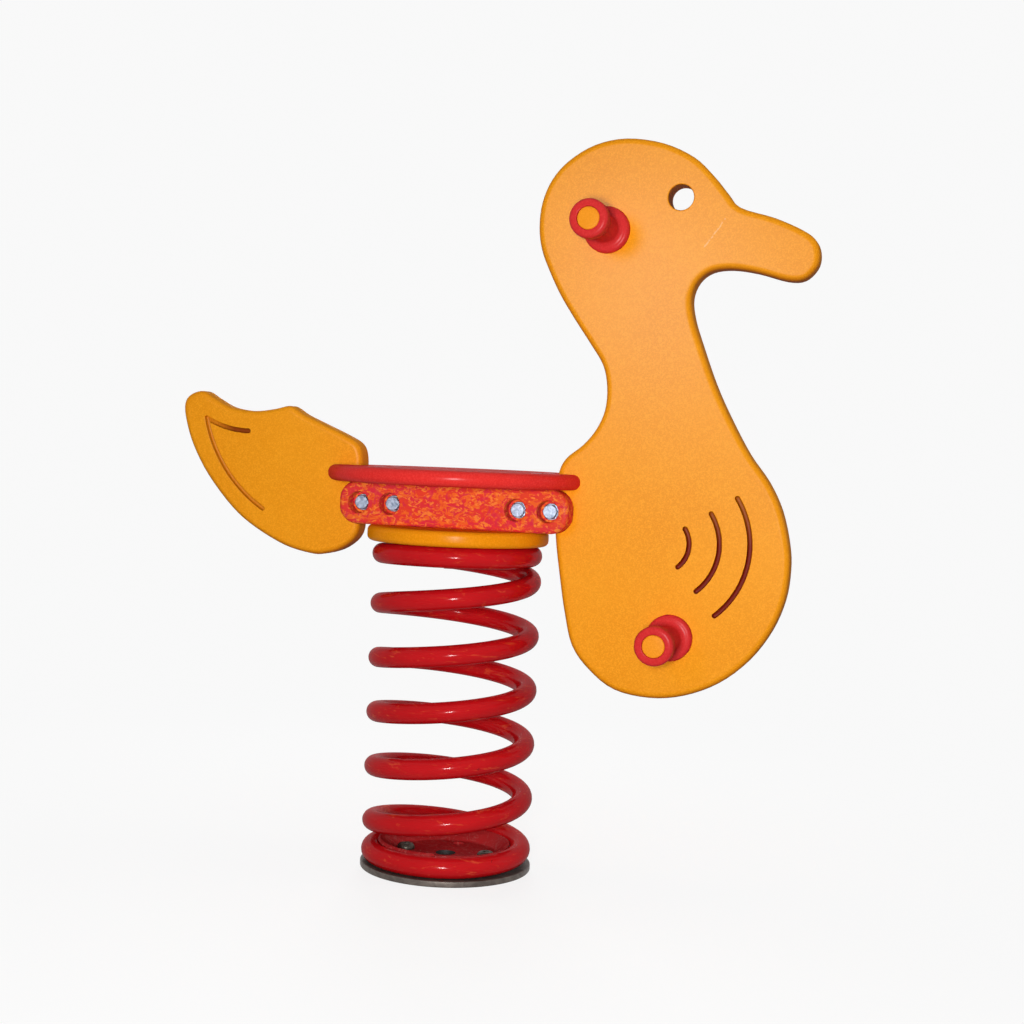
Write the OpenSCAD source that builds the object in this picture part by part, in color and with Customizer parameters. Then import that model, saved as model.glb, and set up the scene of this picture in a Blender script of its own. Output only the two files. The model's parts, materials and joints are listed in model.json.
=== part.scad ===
// Spring rider: a flat duck cut from thick plastic sheet, on a coil spring, with a round seat.
// The origin is the middle of the base plate's underside, +X points to the beak and +Z up. Millimetres.

/* [Base plate] */
// Diameter of the steel base plate
base_d = 168; // [150:1:190]
// Thickness of the base plate
base_t = 6; // [5:0.5:10]
// Diameter of the anchor hole in the middle
centre_hole_d = 20; // [14:1:26]
// Diameter of the two anchor bolt holes
anchor_hole_d = 12; // [11:0.5:14]

/* [Coil spring] */
// Diameter of the spring wire
wire_d = 20; // [16:0.5:24]
// Diameter of the coil, through the middle of the wire
coil_d = 147; // [138:1:165]
// Height of the spring over its end coils
spring_h = 314; // [280:1:350]
// Rise of the wire in one free turn
coil_pitch = 53.5; // [48:0.5:60]
// Gap between a wire tip and the coil that passes it
tip_gap = 0.9; // [0.5:0.1:3]
// Angle of the lower wire tip about the spring's axis
tip_angle = 149; // [0:1:359]

/* [Spring clamps] */
// Thickness of the dished clamp plates
clamp_t = 4; // [3:0.5:6]
// Angle up the wire at which a clamp plate bears on it
clamp_angle = 40; // [36:1:48]
// Length of the lip past the line where a clamp plate bears
clamp_lip = 3; // [1:0.5:6]
// Gap under a clamp plate's floor, which lets its screws draw it tight
clamp_gap = 3; // [1:0.5:5]

/* [Mounting disc] */
// Diameter of the disc on top of the spring
disc_d = 178; // [170:1:200]
// Thickness of the disc
disc_t = 15; // [12:0.5:22]
// Radius of the disc's rounded edges
disc_edge_r = 5; // [2:0.5:5.5]

/* [Side plates] */
// Length of the two side plates
side_len = 231; // [215:1:250]
// Height of the side plates
side_h = 42; // [40:1:56]
// Thickness of the side plates
side_t = 25; // [23:0.5:30]
// Radius of the side plates' corners
side_corner_r = 18; // [8:1:19]
// How far the side plates sit ahead of the spring's axis
side_shift = 3.5; // [0:0.5:6]
// Distance from a side plate's end to its first bolt
bolt_end = 20; // [17:0.5:24]
// Distance between the two bolts of a pair
bolt_pair = 32; // [30:0.5:36]
// Diameter of the recesses for the bolt heads and nuts
recess_d = 21; // [18:0.5:22]
// Depth of those recesses
recess_depth = 16; // [13:0.5:18]

/* [Seat] */
// Diameter of the round seat
seat_d = 254; // [240:1:270]
// Thickness of the seat
seat_t = 15; // [14.5:0.5:22]
// Radius of the seat's rounded edge
seat_edge_r = 7; // [3:0.5:7]
// How far the seat sits behind the spring's axis
seat_back = 2.5; // [0:0.5:8]
// Length of the countersunk seat screws
seat_screw_len = 45; // [35:1:50]

/* [Duck panels] */
// Thickness of the body and tail panels
panel_t = 25; // [20:0.5:30]
// Gap between the mounting disc and the panels' inner edges
panel_gap = 11; // [6:0.5:14]
// Length of the body, from the back of the head to the beak
body_len = 269; // [250:1:290]
// Height of the body and head
body_h = 528; // [500:1:560]
// How far the belly hangs below the top of the mounting disc
body_drop = 151.5; // [140:0.5:165]
// Length of the tail panel, without its tongue
tail_len = 196; // [180:1:215]
// Height of the tail panel
tail_h = 162; // [150:1:175]
// How far the tail hangs below the top of the mounting disc
tail_drop = 35.5; // [28:0.5:42]
// Distance that a panel's tongue reaches past its inner bolt
tongue_past = 16; // [12:0.5:18]
// Diameter of the eye, a hole right through the head
eye_d = 24; // [18:0.5:30]
// Width of the routed grooves
groove_w = 4.5; // [3:0.5:7]
// Depth of the routed grooves
groove_depth = 5; // [2:0.5:8]
// Radius of the smallest wing groove
wing_r = 27.5; // [20:0.5:32]
// Step in radius from one wing groove to the next
wing_step = 28.5; // [20:0.5:32]
// Radius of the long groove in the tail
tail_groove_r = 142; // [130:1:155]
// Radius of the short groove that leaves the tip of the tail's groove
tail_fork_r = 95; // [70:1:130]

/* [Grips and pegs] */
// Length of a hand grip or foot peg, from the panel outwards
peg_len = 82; // [70:1:100]
// Diameter of the flange against the panel
flange_d = 44; // [40:0.5:52]
// Thickness of that flange
flange_t = 8; // [6:0.5:12]
// Diameter of the waist, where a hand closes
waist_d = 25; // [23:0.5:32]
// Diameter of the outer end
grip_end_d = 36; // [32:0.5:42]
// Thickness of the outer end
grip_end_t = 15; // [14:0.5:20]
// Radius of the rounded edges of flange and end
grip_edge_r = 3.5; // [2:0.5:5]
// Radius of the hollows where the waist meets flange and end
grip_hollow_r = 5; // [3:0.5:5.5]
// Diameter of the end plugs
plug_d = 21; // [19:0.5:24]
// Thickness of the end plugs
plug_t = 4.5; // [3:0.5:6]
// How far a plug sits below the end of its peg
plug_inset = 0.8; // [0:0.1:2]

/* [Hidden] */
$fn = 96;

// Fit of the pieces, and the overrun of every cut
run_gap = 0.3;
hole_gap = 0.3;
thread_gap = 0.1;
slot_gap = 0.5;
overrun = 2;

// Ten and eight millimetre fasteners, and the seat screws
m10_d = 10;
m10_head_af = 17;
m10_head_h = 6.4;
m10_button_d = 17.5;
m10_button_h = 5.5;
m10_button_af = 6;
m10_button_depth = 3.1;
m10_button_shares = [[1, 0], [1, 0.18], [0.93, 0.5], [0.78, 0.8], [0.56, 1]];
m10_washer_d = 20;
m10_washer_t = 2;
m8_d = 8;
m8_head_af = 13;
m8_head_h = 5.3;
m8_nut_h = 6.8;
m8_washer_d = 16;
m8_washer_t = 1.6;
seat_screw_d = 6;
seat_screw_head_d = 12;
seat_screw_head_h = 3.2;
barrel_d = 16;
barrel_len = 19;
bolt_past = 3;
washer_edge = 0.5;
screw_floor = 0.5;

// Facets of the spring, and of the panels' curved outlines
wire_sides = 12;
turn_rings = 32;
curve_steps = 4;
groove_steps = 20;
groove_end_steps = 6;

// Levels from the ground up
wire_r = wire_d / 2;
coil_r = coil_d / 2;
wire_seat = wire_r + run_gap;
lower_coil_z = base_t + wire_seat;
upper_coil_z = lower_coil_z + spring_h - wire_d;
disc_z = upper_coil_z + wire_seat;
frame_z = disc_z + disc_t;
bolt_z = frame_z + side_h / 2;
seat_z = frame_z + side_h;
seat_top = seat_z + seat_t;

// The wire lies flat at each end, eases into the pitch, and passes its own tip with a small gap
spring_rise = spring_h - wire_d;
ease_turns = 0.5;
flat_turns = 1 - ease_turns / 2 - (wire_d + tip_gap) / coil_pitch;
turns = 2 * flat_turns + ease_turns + spring_rise / coil_pitch;
function eased(v) =
    v <= 0 ? 0
    : v < ease_turns ? coil_pitch * v * v / (2 * ease_turns)
    : coil_pitch * (v - ease_turns / 2);
function ease_slope(v) = coil_pitch * min(1, max(0, v / ease_turns));
function wire_rise(u) =
    u < turns / 2 ? eased(u - flat_turns) : spring_rise - eased(turns - u - flat_turns);
function wire_slope(u) =
    u < turns / 2 ? ease_slope(u - flat_turns) : ease_slope(turns - u - flat_turns);
function wire_point(u, side) =
    let (a = tip_angle + 360 * u,
         tilt = atan(wire_slope(u) / (2 * PI * coil_r)),
         out = [cos(a), sin(a), 0],
         up = [sin(a) * sin(tilt), -cos(a) * sin(tilt), cos(tilt)],
         middle = coil_r * out + [0, 0, lower_coil_z + wire_rise(u)])
    middle + wire_r * (cos(side) * out + sin(side) * up);

// Profile of a clamp plate: a flat floor, a cone that bears on the wire, and a short lip
bear = [coil_r - wire_seat * cos(clamp_angle), wire_seat + wire_seat * sin(clamp_angle)];
lip_under = bear + clamp_lip * [sin(clamp_angle), cos(clamp_angle)];
lip_top = lip_under + clamp_t * [-cos(clamp_angle), sin(clamp_angle)];
floor_top = clamp_gap + clamp_t;
under_r = bear[0] - (bear[1] - clamp_gap) * tan(clamp_angle);
floor_r = lip_top[0] - (lip_top[1] - floor_top) * tan(clamp_angle);
screw_circle_r = floor_r - m10_washer_d / 2 - washer_edge;

// Places of the fasteners in the frame
side_mid_y = (panel_t + side_t) / 2;
side_outer_y = panel_t / 2 + side_t;
clamp_bolt_x = sqrt(screw_circle_r * screw_circle_r - side_mid_y * side_mid_y);
outer_bolt_x = side_len / 2 - bolt_end;
inner_bolt_x = outer_bolt_x - bolt_pair;
pair_mid_x = (outer_bolt_x + inner_bolt_x) / 2;
frame_bolt_xs = [for (way = [-1, 1]) for (x = [inner_bolt_x, outer_bolt_x]) side_shift + way * x];
bolt_seat_y = side_outer_y - recess_depth;

// Outline of the body: shares of its length and height, clockwise from the top of the head
body_saddle_share = 0.11;
body_shares = [
    [0.31, 1.000], [0.44, 0.991], [0.55, 0.966], [0.62, 0.934], [0.67, 0.904], [0.72, 0.877],
    [0.84, 0.859], [0.94, 0.837], [0.985, 0.819], [1.00, 0.795], [0.99, 0.772], [0.95, 0.752],
    [0.89, 0.750], [0.79, 0.763], [0.70, 0.769], [0.63, 0.764], [0.585, 0.746], [0.565, 0.717],
    [0.575, 0.681], [0.605, 0.637], [0.66, 0.566], [0.72, 0.505], [0.79, 0.444], [0.86, 0.397],
    [0.91, 0.347], [0.94, 0.288], [0.947, 0.243], [0.935, 0.190], [0.894, 0.134], [0.82, 0.079],
    [0.72, 0.036], [0.60, 0.009], [0.478, 0.000], [0.35, 0.010], [0.257, 0.042], [0.19, 0.084],
    [0.157, 0.145], [0.135, 0.206], [0.113, 0.280], [0.11, 0.340], [0.113, 0.392], [0.138, 0.423],
    [0.20, 0.450], [0.245, 0.479], [0.273, 0.514], [0.277, 0.554], [0.26, 0.593], [0.213, 0.630],
    [0.15, 0.675], [0.093, 0.719], [0.05, 0.761], [0.018, 0.800], [0.005, 0.840], [0.012, 0.885],
    [0.045, 0.927], [0.104, 0.961], [0.197, 0.989]];
eye_shares = [0.514, 0.894];
wing_shares = [0.495, 0.279];
hand_grip_shares = [0.258, 0.835];
foot_peg_shares = [0.543, 0.112];
wing_from = -50;
wing_to = 33;

// Outline of the tail: shares of its length and height, anticlockwise from its tip
tail_shares = [
    [0.10, 0.992], [0.03, 0.966], [0.00, 0.907], [0.01, 0.806], [0.056, 0.650], [0.148, 0.465],
    [0.29, 0.271], [0.42, 0.154], [0.59, 0.052], [0.73, 0.012], [0.81, 0.013], [0.915, 0.058],
    [0.99, 0.150], [1.00, 0.300], [1.00, 0.480], [1.00, 0.620], [0.973, 0.700], [0.895, 0.753],
    [0.783, 0.810], [0.67, 0.868], [0.615, 0.908], [0.58, 0.917], [0.507, 0.895], [0.396, 0.878],
    [0.265, 0.895], [0.17, 0.948]];
tail_groove_shares = [0.136, 0.825];
tail_fork_shares = [0.374, 0.752];
tail_groove_angle = -166.8;
tail_groove_end = -121;

saddle_x = disc_d / 2 + panel_gap;
body_corner = [saddle_x - body_saddle_share * body_len, frame_z - body_drop];
tail_corner = [-saddle_x - tail_len, frame_z - tail_drop];
function in_body(s) = body_corner + [s[0] * body_len, s[1] * body_h];
function in_tail(s) = tail_corner + [s[0] * tail_len, s[1] * tail_h];

// A smooth closed curve through points, as a list of points
function on_curve(a, b, c, d, t) =
    (2 * b + (c - a) * t + (2 * a - 5 * b + 4 * c - d) * t * t
    + (3 * b - a - 3 * c + d) * t * t * t) / 2;
function smooth_loop(p) =
    let (n = len(p))
    [for (i = [0:n - 1]) for (k = [0:curve_steps - 1])
        on_curve(p[(i + n - 1) % n], p[i], p[(i + 1) % n], p[(i + 2) % n], k / curve_steps)];
body_outline = smooth_loop([for (s = body_shares) in_body(s)]);
tail_outline = smooth_loop([for (s = tail_shares) in_tail(s)]);

// Outline of a groove with round ends, along an arc
function half_turn(middle, from) = [for (i = [0:groove_end_steps])
    let (a = from + 180 * i / groove_end_steps) middle + groove_w / 2 * [cos(a), sin(a)]];
function arc_points(middle, r, from, to) = [for (i = [1:groove_steps - 1])
    let (a = from + (to - from) * i / groove_steps) middle + r * [cos(a), sin(a)]];
function arc_groove(middle, r, from, to) = concat(
    arc_points(middle, r + groove_w / 2, from, to),
    half_turn(middle + r * [cos(to), sin(to)], to),
    arc_points(middle, r - groove_w / 2, to, from),
    half_turn(middle + r * [cos(from), sin(from)], from + 180));

// Where the panels pass up through the seat
function beside_seat(outline) = [for (p = outline)
    if (p[1] > seat_z - seat_t && p[1] < seat_top + seat_t) p[0]];
body_slot_x = min([for (x = beside_seat(body_outline)) if (x < in_body([0.5, 0])[0]) x]) - slot_gap;
tail_slot_x = max([for (x = beside_seat(tail_outline)) if (x > in_tail([0.5, 0])[0]) x]) + slot_gap;

// Depths inside the outer end of a grip or peg
plug_seat = plug_t + plug_inset;
well_d = m8_washer_d + 2 * slot_gap;
well_depth = m8_washer_t + m8_nut_h + bolt_past + slot_gap;
nut_seat = peg_len - plug_seat - well_depth;
hand_grip_at = in_body(hand_grip_shares);
foot_peg_at = in_body(foot_peg_shares);

// A flat outline in X and Z, standing upright from y on, with a thickness t towards +Y
module upright(y, t) {
    translate([0, y + t, 0]) rotate([90, 0, 0]) linear_extrude(t) children();
}

// A round bar along +Y from y on
module bar_y(x, y, z, d, l) {
    translate([x, y, z]) rotate([-90, 0, 0]) cylinder(d = d, h = l);
}

// Children placed on the far side of the panels, and again mirrored on the near side
module both_sides() {
    children();
    mirror([0, 1, 0]) children();
}

module rounded_rectangle(l, h, r) {
    square([l, h - 2 * r], center = true);
    square([l - 2 * r, h], center = true);
    for (x = [-1, 1]) for (y = [-1, 1])
        translate([x * (l / 2 - r), y * (h / 2 - r)]) circle(r);
}

// A disc with a rounded rim, standing on Z = 0
module rounded_disc(d, t, r) {
    rotate_extrude() {
        square([d / 2 - r, t]);
        translate([0, r]) square([d / 2, t - 2 * r]);
        for (y = [r, t - r]) translate([d / 2 - r, y]) circle(r);
    }
}

module washer(d, bore, t) {
    difference() {
        cylinder(d = d, h = t);
        translate([0, 0, -overrun]) cylinder(d = bore, h = t + 2 * overrun);
    }
}

module hexagon(af, h) {
    cylinder(d = af / cos(30), h = h, $fn = 6);
}

module nut(af, bore, h) {
    difference() {
        hexagon(af, h);
        translate([0, 0, -overrun]) cylinder(d = bore, h = h + 2 * overrun);
    }
}

// The dished clamp plate, its floor above the plane Z = 0 of the plate that it is drawn to.
// Its lip is cut back between two angles, where the wire rises past it.
module clamp_dish(rise_from, rise_to) {
    difference() {
        rotate_extrude() polygon([[0, clamp_gap], [under_r, clamp_gap], lip_under, lip_top,
            [floor_r, floor_top], [0, floor_top]]);
        rotate([0, 0, rise_from]) rotate_extrude(angle = rise_to - rise_from)
            translate([coil_r - wire_seat, 0]) square([wire_d, lip_top[1] + overrun]);
    }
}

module at_clamp_screws() {
    for (way = [-1, 1]) translate([way * screw_circle_r, 0, 0]) children();
}

module at_anchor_holes() {
    for (way = [-1, 1]) translate([0, way * screw_circle_r, 0]) children();
}

module at_clamp_bolts() {
    for (x = [-1, 1]) for (y = [-1, 1])
        translate([x * clamp_bolt_x, y * side_mid_y, 0]) children();
}

module base_plate() {
    color("silver") difference() {
        cylinder(d = base_d, h = base_t);
        translate([0, 0, -overrun]) {
            cylinder(d = centre_hole_d, h = base_t + 2 * overrun);
            at_anchor_holes() cylinder(d = anchor_hole_d, h = base_t + 2 * overrun);
            at_clamp_screws() cylinder(d = m10_d + 2 * thread_gap, h = base_t + 2 * overrun);
        }
    }
}

module lower_clamp_plate() {
    color("firebrick") translate([0, 0, base_t]) difference() {
        clamp_dish(tip_angle + 360 * flat_turns, tip_angle + 360);
        cylinder(d = centre_hole_d, h = floor_top + overrun);
        at_clamp_screws() cylinder(d = m10_d + 2 * hole_gap, h = floor_top + overrun);
        at_anchor_holes() cylinder(d = anchor_hole_d, h = floor_top + overrun);
    }
}

module base_clamp_screws() {
    head_z = base_t + floor_top;
    dome = [for (s = m10_button_shares) [s[0] * m10_button_d / 2, s[1] * m10_button_h]];
    color("gainsboro") at_clamp_screws() {
        translate([0, 0, screw_floor]) cylinder(d = m10_d, h = head_z - screw_floor);
        translate([0, 0, head_z]) difference() {
            rotate_extrude() polygon(concat([[0, 0]], dome, [[0, m10_button_h]]));
            translate([0, 0, m10_button_h - m10_button_depth])
                hexagon(m10_button_af, m10_button_depth + overrun);
        }
    }
}

module coil_spring() {
    rings = ceil(turns * turn_rings);
    points = [for (i = [0:rings]) for (k = [0:wire_sides - 1])
        wire_point(turns * i / rings, 360 * k / wire_sides)];
    tip = [for (k = [0:wire_sides - 1]) k];
    end = [for (k = [0:wire_sides - 1]) rings * wire_sides + wire_sides - 1 - k];
    skin = [for (i = [0:rings - 1]) for (k = [0:wire_sides - 1])
        let (a = i * wire_sides, b = a + wire_sides, next = (k + 1) % wire_sides)
        [a + k, b + k, b + next, a + next]];
    color("crimson") polyhedron(points, concat([tip, end], skin));
}

module upper_clamp_plate() {
    end_angle = tip_angle + 360 * turns;
    color("firebrick") translate([0, 0, disc_z]) mirror([0, 0, 1]) difference() {
        clamp_dish(end_angle - 360, end_angle - 360 * flat_turns);
        at_clamp_bolts() cylinder(d = m10_d + 2 * hole_gap, h = floor_top + overrun);
    }
}

module upper_clamp_washers() {
    color("gainsboro") translate([0, 0, disc_z - floor_top - m10_washer_t])
        at_clamp_bolts() washer(m10_washer_d, m10_d + 2 * hole_gap, m10_washer_t);
}

module upper_clamp_bolts() {
    head_z = disc_z - floor_top - m10_washer_t;
    tip_z = bolt_z + barrel_d / 2 + bolt_past;
    color("gainsboro") translate([0, 0, head_z]) at_clamp_bolts() {
        cylinder(d = m10_d, h = tip_z - head_z);
        translate([0, 0, -m10_head_h]) hexagon(m10_head_af, m10_head_h);
    }
}

module barrel_nuts() {
    color("gainsboro") difference() {
        for (x = [-1, 1]) both_sides()
            bar_y(x * clamp_bolt_x, side_mid_y - barrel_len / 2, bolt_z, barrel_d, barrel_len);
        translate([0, 0, bolt_z - barrel_d]) at_clamp_bolts()
            cylinder(d = m10_d + 2 * thread_gap, h = 2 * barrel_d);
    }
}

module mounting_disc() {
    color("orange") translate([0, 0, disc_z]) difference() {
        rounded_disc(disc_d, disc_t, disc_edge_r);
        translate([0, 0, -overrun]) at_clamp_bolts()
            cylinder(d = m10_d + 2 * hole_gap, h = disc_t + 2 * overrun);
    }
}

// The far side plate, with recesses outside and the barrel nuts' blind bores inside
module side_plate() {
    barrel_depth = side_mid_y + barrel_len / 2 - panel_t / 2 + hole_gap;
    difference() {
        upright(panel_t / 2, side_t) translate([side_shift, bolt_z])
            rounded_rectangle(side_len, side_h, side_corner_r);
        for (x = frame_bolt_xs) {
            bar_y(x, panel_t / 2 - overrun, bolt_z, m8_d + 2 * hole_gap, side_t + 2 * overrun);
            bar_y(x, bolt_seat_y, bolt_z, recess_d, recess_depth + overrun);
        }
        for (way = [-1, 1]) {
            bar_y(way * clamp_bolt_x, panel_t / 2 - overrun, bolt_z, barrel_d + 2 * hole_gap,
                barrel_depth + overrun);
            translate([way * clamp_bolt_x, side_mid_y, frame_z - overrun])
                cylinder(d = m10_d + 2 * hole_gap, h = bolt_z + barrel_d - frame_z + overrun);
            translate([side_shift + way * pair_mid_x, side_mid_y, seat_top - seat_screw_len - slot_gap])
                cylinder(d = seat_screw_d + 2 * thread_gap, h = seat_screw_len);
        }
    }
}

module side_plate_near() {
    color("tomato") mirror([0, 1, 0]) side_plate();
}

module side_plate_far() {
    color("tomato") side_plate();
}

module frame_bolts() {
    head_y = bolt_seat_y + m8_washer_t;
    tip_y = bolt_seat_y + m8_washer_t + m8_nut_h + bolt_past;
    color("gainsboro") for (x = frame_bolt_xs) {
        bar_y(x, -head_y, bolt_z, m8_d, head_y + tip_y);
        translate([x, -head_y, bolt_z]) rotate([90, 0, 0]) hexagon(m8_head_af, m8_head_h);
    }
}

module frame_washers() {
    color("gainsboro") both_sides() for (x = frame_bolt_xs)
        translate([x, bolt_seat_y, bolt_z]) rotate([-90, 0, 0])
            washer(m8_washer_d, m8_d + 2 * hole_gap, m8_washer_t);
}

module frame_nuts() {
    color("gainsboro") for (x = frame_bolt_xs)
        translate([x, bolt_seat_y + m8_washer_t, bolt_z]) rotate([-90, 0, 0])
            nut(m8_head_af, m8_d + 2 * thread_gap, m8_nut_h);
}

// The tongue of a panel between the side plates, and the holes of its two bolts
module tongue(x_from, x_to) {
    translate([x_from, -panel_t / 2, frame_z + run_gap])
        cube([x_to - x_from, panel_t, side_h - 2 * run_gap]);
}

module bolt_holes(way) {
    for (x = [inner_bolt_x, outer_bolt_x])
        bar_y(side_shift + way * x, -panel_t / 2 - overrun, bolt_z, m8_d + 2 * hole_gap,
            panel_t + 2 * overrun);
}

// A groove in both faces of a panel, along a flat outline in X and Z
module groove(outline) {
    both_sides() upright(panel_t / 2 - groove_depth, groove_depth + overrun) polygon(outline);
}

module body_panel() {
    eye_at = in_body(eye_shares);
    color("orange") difference() {
        union() {
            upright(-panel_t / 2, panel_t) polygon(body_outline);
            tongue(side_shift + inner_bolt_x - tongue_past, in_body([0.25, 0])[0]);
        }
        bolt_holes(1);
        bar_y(eye_at[0], -panel_t / 2 - overrun, eye_at[1], eye_d, panel_t + 2 * overrun);
        for (p = [hand_grip_at, foot_peg_at])
            bar_y(p[0], -panel_t / 2 - overrun, p[1], m8_d + 2 * hole_gap, panel_t + 2 * overrun);
        for (i = [0:2])
            groove(arc_groove(in_body(wing_shares), wing_r + i * wing_step, wing_from, wing_to));
    }
}

module tail_panel() {
    apex = in_tail(tail_groove_shares);
    start = [cos(tail_groove_angle), sin(tail_groove_angle)];
    fork = in_tail(tail_fork_shares);
    reach = norm(fork - apex);
    fork_up = [apex[1] - fork[1], fork[0] - apex[0]] / reach;
    fork_middle = (apex + fork) / 2 + fork_up * sqrt(tail_fork_r * tail_fork_r - reach * reach / 4);
    color("orange") difference() {
        union() {
            upright(-panel_t / 2, panel_t) polygon(tail_outline);
            tongue(in_tail([0.75, 0])[0], side_shift - inner_bolt_x + tongue_past);
        }
        bolt_holes(-1);
        groove(arc_groove(apex - tail_groove_r * start, tail_groove_r, tail_groove_angle, tail_groove_end));
        groove(arc_groove(fork_middle, tail_fork_r, atan2(apex[1] - fork_middle[1], apex[0] - fork_middle[0]),
            atan2(fork[1] - fork_middle[1], fork[0] - fork_middle[0])));
    }
}

module seat() {
    rim = seat_d / 2 + overrun;
    slot_w = panel_t + 2 * slot_gap;
    slot_h = seat_t + 2 * overrun;
    color("red") difference() {
        translate([-seat_back, 0, seat_z]) rounded_disc(seat_d, seat_t, seat_edge_r);
        translate([0, -slot_w / 2, seat_z - overrun]) {
            translate([-seat_back - rim, 0, 0]) cube([tail_slot_x + seat_back + rim, slot_w, slot_h]);
            translate([body_slot_x, 0, 0]) cube([rim - seat_back - body_slot_x, slot_w, slot_h]);
        }
        at_seat_screws() {
            translate([0, 0, -seat_t - overrun])
                cylinder(d = seat_screw_d + 2 * hole_gap, h = seat_t + overrun);
            seat_screw_head(hole_gap);
        }
    }
}

module at_seat_screws() {
    for (x = [-1, 1]) for (y = [-1, 1])
        translate([side_shift + x * pair_mid_x, y * side_mid_y, seat_top]) children();
}

// A countersunk head below Z = 0, wider by a gap all round, which also clears the way above it
module seat_screw_head(gap) {
    translate([0, 0, -seat_screw_head_h])
        cylinder(d1 = seat_screw_d + 2 * gap, d2 = seat_screw_head_d + 2 * gap, h = seat_screw_head_h);
    if (gap > 0) cylinder(d = seat_screw_head_d + 2 * gap, h = overrun);
}

module seat_screws() {
    color("gainsboro") at_seat_screws() {
        translate([0, 0, -seat_screw_len])
            cylinder(d = seat_screw_d, h = seat_screw_len - seat_screw_head_h);
        seat_screw_head(0);
    }
}

// Half section of a grip or peg, X out from its axis and Y from the panel to its outer end
module peg_section() {
    end_y = peg_len - grip_end_t;
    difference() {
        union() {
            square([waist_d / 2, peg_len]);
            square([flange_d / 2, flange_t - grip_edge_r]);
            square([flange_d / 2 - grip_edge_r, flange_t]);
            translate([flange_d / 2 - grip_edge_r, flange_t - grip_edge_r]) circle(grip_edge_r);
            translate([0, end_y]) square([grip_end_d / 2 - grip_edge_r, grip_end_t]);
            translate([0, end_y + grip_edge_r]) square([grip_end_d / 2, grip_end_t - 2 * grip_edge_r]);
            for (y = [end_y + grip_edge_r, peg_len - grip_edge_r])
                translate([grip_end_d / 2 - grip_edge_r, y]) circle(grip_edge_r);
            translate([waist_d / 2, flange_t]) hollow();
            translate([waist_d / 2, end_y]) mirror([0, 1]) hollow();
        }
        square([m8_d / 2 + hole_gap, peg_len]);
        translate([0, nut_seat]) square([well_d / 2, peg_len]);
        translate([0, peg_len - plug_seat]) square([plug_d / 2 + thread_gap, peg_len]);
    }
}

module hollow() {
    difference() {
        square(grip_hollow_r);
        translate([grip_hollow_r, grip_hollow_r]) circle(grip_hollow_r);
    }
}

// Children placed at a peg's axis on the far face of the panel, with Z pointing outwards
module on_far_face(at) {
    translate([at[0], panel_t / 2, at[1]]) rotate([-90, 0, 0]) children();
}

module peg(at) {
    on_far_face(at) rotate_extrude() peg_section();
}

module peg_rod(at) {
    reach = panel_t / 2 + nut_seat + m8_washer_t + m8_nut_h + bolt_past;
    color("gainsboro") bar_y(at[0], -reach, at[1], m8_d, 2 * reach);
}

module peg_washers(at) {
    color("gainsboro") both_sides() on_far_face(at) translate([0, 0, nut_seat])
        washer(m8_washer_d, m8_d + 2 * hole_gap, m8_washer_t);
}

module peg_nuts(at) {
    color("gainsboro") both_sides() on_far_face(at) translate([0, 0, nut_seat + m8_washer_t])
        nut(m8_head_af, m8_d + 2 * thread_gap, m8_nut_h);
}

module peg_plugs(at) {
    color("orange") both_sides() on_far_face(at) translate([0, 0, peg_len - plug_seat])
        cylinder(d = plug_d, h = plug_t);
}

module hand_grip_near() { color("crimson") mirror([0, 1, 0]) peg(hand_grip_at); }
module hand_grip_far() { color("crimson") peg(hand_grip_at); }
module foot_peg_near() { color("crimson") mirror([0, 1, 0]) peg(foot_peg_at); }
module foot_peg_far() { color("crimson") peg(foot_peg_at); }

base_plate();
lower_clamp_plate();
base_clamp_screws();
coil_spring();
upper_clamp_plate();
upper_clamp_bolts();
upper_clamp_washers();
barrel_nuts();
mounting_disc();
side_plate_near();
side_plate_far();
frame_bolts();
frame_washers();
frame_nuts();
body_panel();
tail_panel();
seat();
seat_screws();
hand_grip_near();
hand_grip_far();
peg_rod(hand_grip_at);  // hand_grip_rod
peg_washers(hand_grip_at);  // hand_grip_washers
peg_nuts(hand_grip_at);  // hand_grip_nuts
peg_plugs(hand_grip_at);  // hand_grip_plugs
foot_peg_near();
foot_peg_far();
peg_rod(foot_peg_at);  // foot_peg_rod
peg_washers(foot_peg_at);  // foot_peg_washers
peg_nuts(foot_peg_at);  // foot_peg_nuts
peg_plugs(foot_peg_at);  // foot_peg_plugs
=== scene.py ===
import json
import math

import bmesh
import bpy
import numpy as np
from mathutils import Matrix, Vector
from mathutils.geometry import delaunay_2d_cdt


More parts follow.
